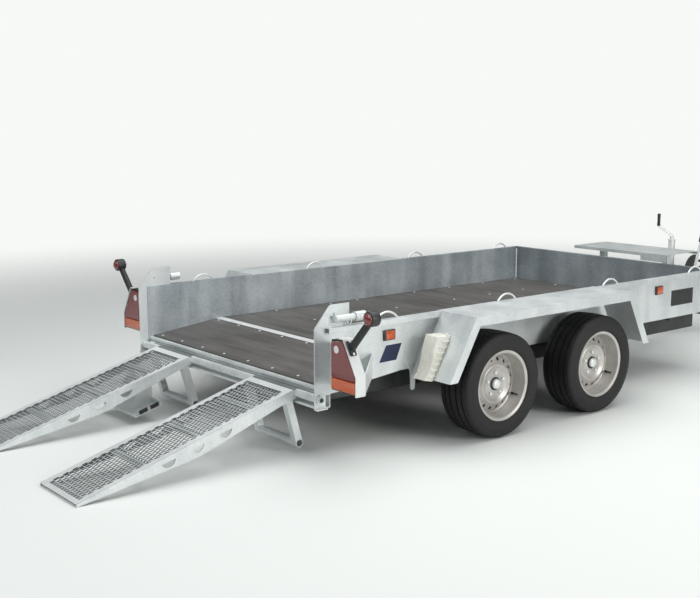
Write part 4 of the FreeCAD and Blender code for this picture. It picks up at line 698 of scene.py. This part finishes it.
y_rear = WHEELS[0][1]
section = [(TYRE_X + x, y_rear, AXLE_Z + r) for x, r in tyre_section()]
first_tyre = turned(section, (TYRE_X, y_rear, AXLE_Z), (1, 0, 0), 120)
bpy.ops.object.mode_set(mode="OBJECT")
clear_selection()
bpy.ops.mesh.primitive_cube_add(size=1, location=(TYRE_X + 0.068, y_rear, AXLE_Z + 0.262))
sipe = bpy.context.object
sipe.scale = (0.030, 0.0022, 0.010)
sipe.rotation_euler = (0, 0, 0.35)
bpy.ops.object.transform_apply(location=False, rotation=True, scale=True)
bpy.ops.object.mode_set(mode="EDIT")
bpy.ops.mesh.select_all(action="SELECT")
bpy.ops.mesh.bevel(offset=0.0004, segments=1, affect="EDGES")
bpy.ops.object.mode_set(mode="OBJECT")
cuts = [sipe]
bpy.ops.object.transform_apply(location=True, rotation=True, scale=True)
for x, z in ((-0.029, 0.002), (-0.068, 0.003), (-0.107, 0.002), (-0.136, 0)):
    cuts.append(copied(sipe, (x, 0, z)))
ring_of_cuts = joined(cuts)
sipes = [ring_of_cuts]
SIPES = 40
for k in range(1, SIPES):
    turn = copied(ring_of_cuts)
    select_only(turn)
    bpy.ops.transform.rotate(value=2 * math.pi * k / SIPES, orient_axis="X",
                             center_override=(TYRE_X, y_rear, AXLE_Z))
    bpy.ops.object.transform_apply(location=True, rotation=True, scale=True)
    sipes.append(turn)
cutter = joined(sipes)


def carve(piece, tool):
    """Cuts one closed mesh from another and deletes the tool."""
    select_only(piece)
    bpy.ops.object.modifier_add(type="BOOLEAN")
    cut = piece.modifiers[-1]
    cut.operation = "DIFFERENCE"
    cut.solver = "EXACT"
    cut.object = tool
    bpy.ops.object.modifier_apply(modifier=cut.name)
    discard(tool)


select_only(first_tyre)
bpy.ops.object.mode_set(mode="EDIT")
bpy.ops.mesh.select_all(action="DESELECT")
bpy.ops.mesh.select_non_manifold(extend=False)
bpy.ops.mesh.bridge_edge_loops()
bpy.ops.mesh.select_all(action="SELECT")
bpy.ops.mesh.normals_make_consistent(inside=False)
bpy.ops.object.mode_set(mode="OBJECT")
carve(first_tyre, cutter)

# Rims: pressed steel in warm silver paint, with a deep dish, sixteen round vents, five
# bolts, a bright cap in a black ring and a rubber valve.
RIM_PAINT, tree, shader = new_material("rim_silver")
flake = laid_out(tree, "ShaderNodeTexNoise", Scale=900.0, Detail=2.0)
grime = laid_out(tree, "ShaderNodeTexNoise", Scale=9.0, Detail=5.0)
tinted(tree, shader, grime.outputs["Fac"], (0.42, 0.405, 0.38), (0.58, 0.56, 0.53),
       (0.3, 0.7))
raised_by(tree, shader, flake.outputs["Fac"], 0.05, 0.0005)
roughened(tree, shader, grime.outputs["Fac"], 0.30, 0.48)
shader.inputs["Metallic"].default_value = 0.45
RIM_SECTION = [
    (-0.176, 0.1815), (-0.1755, 0.1780), (-0.171, 0.1670), (-0.165, 0.1655),
    (-0.150, 0.1640), (-0.140, 0.1560), (-0.085, 0.1560), (-0.070, 0.1630),
    (-0.016, 0.1640), (-0.009, 0.1660), (-0.0075, 0.1720), (-0.006, 0.1800),
    (-0.004, 0.1823), (-0.0015, 0.1825), (0.0, 0.1805), (-0.0005, 0.1780),
    (-0.0035, 0.1690), (-0.006, 0.1625), (-0.012, 0.1600), (-0.060, 0.1590),
    (-0.066, 0.1540), (-0.070, 0.1525), (-0.076, 0.1500), (-0.078, 0.1440),
    (-0.073, 0.1350), (-0.060, 0.1120), (-0.052, 0.1030), (-0.0475, 0.0985),
    (-0.0460, 0.0950), (-0.0470, 0.0915), (-0.0520, 0.0840), (-0.0560, 0.0755),
    (-0.0575, 0.0720), (-0.0580, 0.0330), (-0.0570, 0.0305), (-0.0560, 0.0300),
    (-0.0560, 0.0250), (-0.0620, 0.0250), (-0.0620, 0.0740), (-0.0520, 0.0955),
    (-0.0640, 0.1130), (-0.0790, 0.1370), (-0.0830, 0.1440), (-0.0800, 0.1530),
    (-0.1390, 0.1525), (-0.1490, 0.1605), (-0.1650, 0.1620), (-0.1740, 0.1650),
]


def wheel_turned(section, steps):
    """Spins a section, given as (out from the wheel's face, radius), about the axle."""
    piece = turned([(FACE_X + x, y_rear, AXLE_Z + r) for x, r in section],
                   (FACE_X, y_rear, AXLE_Z), (1, 0, 0), steps)
    bpy.ops.object.mode_set(mode="OBJECT")
    return piece


def on_wheel(out, radius, angle):
    """A point out from the wheel's face, at a radius and an angle about the axle."""
    return (FACE_X + out, y_rear + radius * math.sin(angle),
            AXLE_Z + radius * math.cos(angle))


first_rim = wheel_turned(RIM_SECTION + RIM_SECTION[:1], 96)
VENTS, BOLTS = 16, 5
vent_cuts = []
for k in range(VENTS):
    clear_selection()
    bpy.ops.mesh.primitive_cylinder_add(
        vertices=20, radius=0.0088, depth=0.06, rotation=(0, math.pi / 2, 0),
        location=on_wheel(-0.070, 0.1225, 2 * math.pi * (k + 0.5) / VENTS))
    bpy.ops.object.transform_apply(location=True, rotation=True, scale=True)
    vent_cuts.append(bpy.context.object)
carve(first_rim, joined(vent_cuts))

bolt_spots = [on_wheel(-0.0545, 0.056, 2 * math.pi * k / BOLTS) for k in range(BOLTS)]
first_bolts = studs(bolt_spots, 0.0095, 0.012, (1, 0, 0))
CAP = ((-0.060, 0.0250), (-0.0450, 0.0245), (-0.0415, 0.0220), (-0.0395, 0.0160),
       (-0.0385, 0.0080), (-0.0382, 0))
first_cap = wheel_turned(CAP, 40)
CAP_RING = ((-0.0585, 0.0330), (-0.0540, 0.0325), (-0.0520, 0.0300), (-0.0520, 0.0255),
            (-0.0590, 0.0250))
first_ring = wheel_turned(CAP_RING, 40)
VALVE = ((-0.006, 0.0062), (0.004, 0.0060), (0.012, 0.0042), (0.034, 0.0040), (0.036, 0))
valve_centre = Vector(on_wheel(-0.060, 0.148, math.radians(118)))
first_valve = turned([valve_centre + Vector((x, 0, r)) for x, r in VALVE], valve_centre,
                     (1, 0, 0), 16)
bpy.ops.object.mode_set(mode="OBJECT")

for axle, y in WHEELS:
    for name, side in SIDES:
        body = f"wheel_{axle}_{name}"
        shift = (0, y - y_rear, 0)
        for first, label, material, slot in (
                (first_tyre, "tyre", TYRE_RUBBER, "tyre"),
                (first_rim, "rim", RIM_PAINT, "rim"),
                (first_bolts, "bolts", ZINC_BRIGHT, "zinc"),
                (first_cap, "cap", ZINC_BRIGHT, "zinc"),
                (first_ring, "cap_ring", BLACK_GAP, "rubber"),
                (first_valve, "valve", BLACK_GAP, "rubber")):
            copied(first, shift, mirror=side < 0)
            label_name = f"{label}_{axle}_{name}"
            made = finish_piece(f"wheel_{label_name}", material, body, 40)
            if label in ("tyre", "rim"):
                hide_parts(label_name)
discard(first_tyre, first_rim, first_bolts, first_cap, first_ring, first_valve)


# Side lamps: square amber reflectors in black frames, two on each side panel.
def lens(name, dark, light, scale, rough=0.12):
    """Ribbed lens plastic: fine upright prisms under a clear glossy face."""
    material, tree, shader = new_material(name)
    prisms = laid_out(tree, "ShaderNodeTexWave", Scale=scale, Distortion=0.2)
    cells = laid_out(tree, "ShaderNodeTexVoronoi", Scale=scale * 1.4)
    tinted(tree, shader, cells.outputs["Distance"], dark, light)
    raised_by(tree, shader, prisms.outputs["Fac"], 0.35, 0.001)
    shader.inputs["Roughness"].default_value = rough
    shader.inputs["Coat Weight"].default_value = 1.0
    shader.inputs["Coat Roughness"].default_value = 0.04
    return material


def plastic(name, dark, light, rough):
    """Moulded plastic with a fine grain and faint scuffs."""
    material, tree, shader = new_material(name)
    scuffs = laid_out(tree, "ShaderNodeTexNoise", Scale=22.0, Detail=6.0, Roughness=0.7)
    grain = laid_out(tree, "ShaderNodeTexNoise", Scale=700.0)
    tinted(tree, shader, scuffs.outputs["Fac"], dark, light, (0.3, 0.72))
    raised_by(tree, shader, grain.outputs["Fac"], 0.15, 0.0005)
    roughened(tree, shader, scuffs.outputs["Fac"], rough - 0.06, rough + 0.1)
    return material


AMBER = lens("amber_lens", (0.42, 0.055, 0.010), (0.75, 0.12, 0.014), 260.0)
RED = lens("red_lens", (0.10, 0.005, 0.005), (0.24, 0.010, 0.008), 260.0)
CLEAR = lens("clear_lens", (0.50, 0.52, 0.52), (0.88, 0.90, 0.90), 150.0)
BLACK = plastic("black_plastic", (0.014, 0.014, 0.015), (0.035, 0.035, 0.036), 0.42)
ARM_RUBBER = rubber("arm_rubber", (0.016, 0.016, 0.017), 0.55)
SKIN, REFLECTOR_Z = 0.798, 0.543
for name, side in SIDES:
    frames = []
    lenses = []
    for y in (REAR + 0.395, REAR + 2.530):
        eased_box((side * (SKIN + 0.0045), y, REFLECTOR_Z), (0.009, 0.070, 0.050), 0.0015)
        bpy.ops.object.mode_set(mode="OBJECT")
        frames.append(bpy.context.object)
        eased_box((side * (SKIN + 0.0085), y + 0.004, REFLECTOR_Z), (0.003, 0.052, 0.042),
                  0.0010)
        bpy.ops.object.mode_set(mode="OBJECT")
        lenses.append(bpy.context.object)
    joined(frames)
    frames_piece = finish_piece(f"reflector_frames_{name}", BLACK, "trailer")
    if side < 0:
        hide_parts("side_markers")
    joined(lenses)
    finish_piece(f"reflector_lenses_{name}", AMBER, "trailer")

# Signs: a blank dark-blue slanted sign near the rear and a blank black plate near the
# front of each side, thin vinyl on the zinc.
NAVY = plastic("navy_vinyl", (0.010, 0.016, 0.050), (0.016, 0.026, 0.078), 0.32)
BLUE_SIGN = ((0.379, 0.493), (0.477, 0.494), (0.443, 0.416), (0.336, 0.415))
DARK_SIGN = ((2.662, 0.432), (2.887, 0.432), (2.887, 0.527), (2.662, 0.527))
for name, side in SIDES:
    for label, corners, material in (("blue", BLUE_SIGN, NAVY), ("dark", DARK_SIGN, BLACK)):
        points = [(side * SKIN, REAR + y, z) for y, z in corners]
        plate(points, (side * 0.0012, 0, 0), 0.0003)
        finish_piece(f"{label}_sign_{name}", material, "trailer")

# Rear lamps: a black tray in each guard with a red lens, an amber lens along the foot
# and a round clear reversing lamp at the upper inner corner.
lamp_low, lamp_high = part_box("lamp_right")
LAMP_REAR, LAMP_FRONT = lamp_low[1], lamp_high[1]
TRAY = ((0.868, 0.356), (1.047, 0.356), (1.047, 0.442), (0.960, 0.596), (0.868, 0.584))
RED_FACE = ((0.874, 0.418), (1.040, 0.418), (1.040, 0.442), (0.957, 0.588), (0.874, 0.577))
AMBER_FACE = ((0.874, 0.363), (1.040, 0.363), (1.040, 0.415), (0.874, 0.415))
REVERSING = (0.912, 0.545)
for name, side in SIDES:
    plate([(side * x, LAMP_REAR + 0.010, z) for x, z in TRAY],
          (0, LAMP_FRONT - LAMP_REAR - 0.010, 0), 0.001)
    tray = finish_piece(f"lamp_tray_{name}", BLACK, "trailer")
    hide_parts(f"lamp_{name}")
    for label, corners, material in (("red", RED_FACE, RED), ("amber", AMBER_FACE, AMBER)):
        plate([(side * x, LAMP_REAR + 0.001, z) for x, z in corners], (0, 0.012, 0), 0.003)
        finish_piece(f"lamp_{label}_{name}", material, "trailer")
    cx, cz = side * REVERSING[0], REVERSING[1]
    turned([(cx, LAMP_REAR, cz), (cx + 0.012, LAMP_REAR + 0.0004, cz),
            (cx + 0.021, LAMP_REAR + 0.0014, cz), (cx + 0.0235, LAMP_REAR + 0.0030, cz),
            (cx + 0.0245, LAMP_REAR + 0.0070, cz)], (cx, LAMP_REAR, cz), (0, 1, 0), 32)
    finish_piece(f"lamp_reversing_{name}", CLEAR, "trailer")

# Marker lamps: a black rubber arm with a flared foot and two bright screws on the
# guard's rim, and a black ring at its end with a red lens behind and a clear one ahead.
MARKER_Y = REAR + 0.010
MARKER = (1.127, 0.710)
RIM_LOW, RIM_HIGH = Vector((1.050, 0.443)), Vector((0.963, 0.599))
along = (RIM_HIGH - RIM_LOW).normalized()
outwards = Vector((along[1], -along[0]))
foot = RIM_HIGH - along * 0.046
for name, side in SIDES:
    base = foot + outwards * 0.007
    lean = (Vector(MARKER) - base).normalized()
    across = Vector((-lean[1], lean[0]))
    arm_top = Vector(MARKER) - lean * 0.020
    arm_points = [base + across * 0.017, base - across * 0.017,
                  base - across * 0.0150 + lean * 0.03, arm_top - across * 0.0135,
                  arm_top + across * 0.0135, base + across * 0.0150 + lean * 0.03]
    plate([(side * p[0], MARKER_Y - 0.013, p[1]) for p in arm_points], (0, 0.026, 0), 0.004)
    bpy.ops.object.mode_set(mode="OBJECT")
    arm = bpy.context.object
    outer = outwards * 0.009
    foot_points = [foot - along * 0.036, foot + along * 0.036,
                   foot + along * 0.034 + outer, foot - along * 0.034 + outer]
    plate([(side * p[0], MARKER_Y - 0.018, p[1]) for p in foot_points], (0, 0.036, 0), 0.003)
    bpy.ops.object.mode_set(mode="OBJECT")
    joined([arm, bpy.context.object])
    arm = finish_piece(f"marker_arm_{name}", ARM_RUBBER, "trailer", 50)
    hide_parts(f"marker_{name}")
    spots = [foot + along * t + outer for t in (-0.028, 0.028)]
    studs([(side * p[0], MARKER_Y, p[1]) for p in spots], 0.006, 0.004,
          (side * outwards[0], 0, outwards[1]), 12)
    finish_piece(f"marker_screws_{name}", ZINC_BRIGHT, "trailer")
    cx, cz = side * MARKER[0], MARKER[1]
    housing = [(0.0275, -0.0230), (0.0325, -0.0225), (0.0340, -0.0180), (0.0340, 0.0180),
               (0.0325, 0.0225), (0.0275, 0.0230), (0.0275, -0.0230)]
    turned([(cx + r, MARKER_Y + t, cz) for r, t in housing], (cx, MARKER_Y, cz),
           (0, 1, 0), 36)
    finish_piece(f"marker_ring_{name}", BLACK, "trailer")
    for label, ahead, material in (("rear", -1, RED), ("front", 1, CLEAR)):
        dome = [(0, 0.0350), (0.012, 0.0345), (0.020, 0.0325), (0.0255, 0.0285),
                (0.0272, 0.0230), (0.0272, 0.0020), (0, 0.0020)]
        turned([(cx + r, MARKER_Y + ahead * t, cz) for r, t in dome],
               (cx, MARKER_Y, cz), (0, 1, 0), 32)
        finish_piece(f"marker_lens_{label}_{name}", material, "trailer")

# Ramp latches: zinc bolt barrels on the posts, each with a ring to pull it by.
dress(ZINC_BAR, "ramp_latches", "lug_plates")
for name, side in SIDES:
    clear_selection()
    bpy.ops.mesh.primitive_torus_add(
        major_segments=28, minor_segments=8, major_radius=0.017, minor_radius=0.0028,
        location=(side * 0.825, REAR + 0.128, 0.648), rotation=(math.pi / 2, 0, 0.3 * side))
    bpy.ops.object.transform_apply(location=True, rotation=True, scale=True)
    bpy.ops.object.mode_set(mode="EDIT")
    bpy.ops.mesh.select_all(action="SELECT")
    bpy.ops.transform.resize(value=(0.85, 1, 1.15))
    finish_piece(f"latch_ring_{name}", ZINC_BRIGHT, "trailer", 60)

# Wheel chocks: off-white plastic wedges on the rear slopes of the fenders, with a hollow
# back edge, ribs across their side and a knob at the top.
CHOCK_WHITE = plastic("chock_plastic", (0.66, 0.65, 0.58), (0.82, 0.81, 0.74), 0.48)
CHOCK = [(-0.9751, 0.530), (-1.0671, 0.536), (-1.0800, 0.500), (-1.0910, 0.462),
         (-1.0968, 0.426), (-1.1080, 0.392), (-1.1250, 0.360), (-1.1484, 0.334),
         (-1.0944, 0.322)]
CHOCK_RIBS, RIB_FOOT, RIB_PITCH, FACE_SLOPE = 7, 0.350, 0.026, 0.5737
for name, side in SIDES:
    plate([(side * 0.868, y, z) for y, z in CHOCK], (side * 0.084, 0, 0), 0.003)
    bpy.ops.object.mode_set(mode="OBJECT")
    wedge = [bpy.context.object]
    for k in range(CHOCK_RIBS):
        z = RIB_FOOT + RIB_PITCH * k
        slope_y = CHOCK[-1][0] + (z - CHOCK[-1][1]) * FACE_SLOPE
        eased_box((side * 0.9535, slope_y - 0.027, z), (0.0085, 0.046, 0.010), 0.002)
        bpy.ops.object.mode_set(mode="OBJECT")
        wedge.append(bpy.context.object)
    clear_selection()
    bpy.ops.mesh.primitive_cylinder_add(vertices=20, radius=0.009, depth=0.020,
                                        location=(side * 0.938, -0.992, 0.530))
    bpy.ops.object.transform_apply(location=True, rotation=True, scale=True)
    bpy.ops.object.mode_set(mode="EDIT")
    bpy.ops.mesh.select_all(action="SELECT")
    bpy.ops.mesh.bevel(offset=0.003, segments=2, affect="EDGES")
    bpy.ops.object.mode_set(mode="OBJECT")
    wedge.append(bpy.context.object)
    joined(wedge)
    chock = finish_piece(f"chock_{name}", CHOCK_WHITE, "trailer")
    if side < 0:
        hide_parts("wheel_chocks")

# Coupling: cast overrun housing and head in dull zinc grey, a black rubber gaiter with
# round folds between them, and a black handle.
CAST = zinc("cast_grey", (0.42, 0.44, 0.45), (0.20, 0.21, 0.22), 180.0, 1.2, 0.5, 0.25)
dress(CAST, "overrun_housing", "coupling_head")
dress(BLACK, "coupling_handle", "brake_quadrant")
gaiter_start, gaiter_end, COUPLING_Z = REAR + 4.150, REAR + 4.305, 0.430
FOLDS, STEPS = 7, 6
fold_points = [(0.0235, gaiter_start + 0.0005)]
for k in range(FOLDS * STEPS + 1):
    y = gaiter_start + 0.001 + (gaiter_end - gaiter_start - 0.002) * k / (FOLDS * STEPS)
    radius = 0.0315 - 0.0040 * math.cos(2 * math.pi * k / STEPS)
    fold_points.append((radius, y))
fold_points.append((0.0235, gaiter_end - 0.0005))
turned([(r, y, COUPLING_Z) for r, y in fold_points], (0, gaiter_start, COUPLING_Z),
       (0, 1, 0), 40)
gaiter = finish_piece("coupling_gaiter", ARM_RUBBER, "trailer", 60)
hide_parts("gaiter")
PLATE_TOP, BOLT_X = 0.359, 0.086
plate_bolts = [(x, REAR + y, PLATE_TOP) for x in (-BOLT_X, BOLT_X)
               for y in (3.895, 3.943, 4.073, 4.125)]
studs(plate_bolts, 0.009, 0.008, (0, 0, 1))
finish_piece("housing_bolts", ZINC_BRIGHT, "trailer")

# Handbrake: a flat zinc lever with a ribbed black grip.
PIVOT = Vector((0, REAR + 4.040, 0.456))
LEVER = math.radians(72)
lever_along = Vector((0, math.cos(LEVER), math.sin(LEVER)))
lever_aside = Vector((0, -math.sin(LEVER), math.cos(LEVER)))
LEVER_LOOP = ((-0.026, -0.015), (0.212, -0.011), (0.212, 0.011), (-0.026, 0.015))
plate([Vector((0.048, 0, 0)) + PIVOT + lever_along * a + lever_aside * s
       for a, s in LEVER_LOOP], (0.008, 0, 0), 0.001)
lever = finish_piece("brake_lever_arm", ZINC_BRIGHT, "trailer")
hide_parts("handbrake_lever")
grip_points = [(0.0, 0.208), (0.0125, 0.208), (0.0140, 0.213)]
for k in range(9):
    grip_points += [(0.0140, 0.218 + 0.0105 * k), (0.0155, 0.2215 + 0.0105 * k),
                    (0.0155, 0.2250 + 0.0105 * k)]
grip_points += [(0.0150, 0.318), (0.0120, 0.328), (0.0060, 0.333), (0.0, 0.334)]
grip_base = PIVOT + Vector((0.052, 0, 0))
turned([grip_base + lever_along * a + lever_aside * r for r, a in grip_points],
       grip_base, lever_along, 24)
finish_piece("brake_lever_grip", BLACK, "trailer", 45)

# Jockey wheel: zinc tubes in the clamp, a bent crank with a black grip, and a fork that
# carries a solid rubber wheel on a pressed disc.
dress(ZINC_BRIGHT, "jockey_tube", "jockey_leg")
dress(ZINC_BAR, "jockey_clamp", "jockey_fork")
JOCKEY_X = -0.170
JOCKEY = Vector((JOCKEY_X, REAR + 4.070, 0))
CRANK_LOW = 0.680
crank_turn = Matrix.Rotation(math.radians(50), 4, "Z")
crank_place = Matrix.Translation(JOCKEY + Vector((0, 0, CRANK_LOW))) @ crank_turn
CRANK = ((-0.008, 0), (0.008, 0), (0.008, 0.014), (-0.095, 0.086), (-0.110, 0.086),
         (-0.110, 0.074))
plate([crank_place @ Vector((x, -0.005, z)) for x, z in CRANK],
      crank_turn @ Vector((0, 0.010, 0)), 0.002)
crank = finish_piece("crank_arm", ZINC_BRIGHT, "jockey_outer")
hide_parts("jockey_crank")
GRIP = ((0, 0.080), (0.0100, 0.080), (0.0118, 0.083), (0.0105, 0.120), (0.0118, 0.160),
        (0.0115, 0.168), (0.0080, 0.1715), (0, 0.172))
grip_centre = crank_place @ Vector((-0.103, 0, 0.080))
turned([crank_place @ Vector((-0.103 + r, 0, z)) for r, z in GRIP], grip_centre,
       (0, 0, 1), 24)
finish_piece("crank_grip", BLACK, "jockey_outer", 50)

HUB = Vector((JOCKEY_X, REAR + 4.040, 0.100))
tyre_half = [(0.0300, 0.0700), (0.0300, 0.0860), (0.0270, 0.0935), (0.0200, 0.0980),
             (0.0110, 0.0996)]
tyre_loop = tyre_half + [(-x, r) for x, r in reversed(tyre_half)]
tyre_loop.append(tyre_loop[0])
turned([HUB + Vector((x, 0, r)) for x, r in tyre_loop], HUB, (1, 0, 0), 64)
wheel = finish_piece("jockey_tyre", TYRE_RUBBER, "jockey_roller", 45)
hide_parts("jockey_wheel")
disc_half = [(0.0290, 0.0084), (0.0290, 0.0200), (0.0270, 0.0225), (0.0130, 0.0235),
             (0.0120, 0.0300), (0.0120, 0.0580), (0.0150, 0.0640), (0.0270, 0.0660),
             (0.0285, 0.0705)]
disc_loop = disc_half + [(-x, r) for x, r in reversed(disc_half)]
disc_loop.append(disc_loop[0])
turned([HUB + Vector((x, 0, r)) for x, r in disc_loop], HUB, (1, 0, 0), 48)
finish_piece("jockey_disc", ZINC_BAR, "jockey_roller", 40)
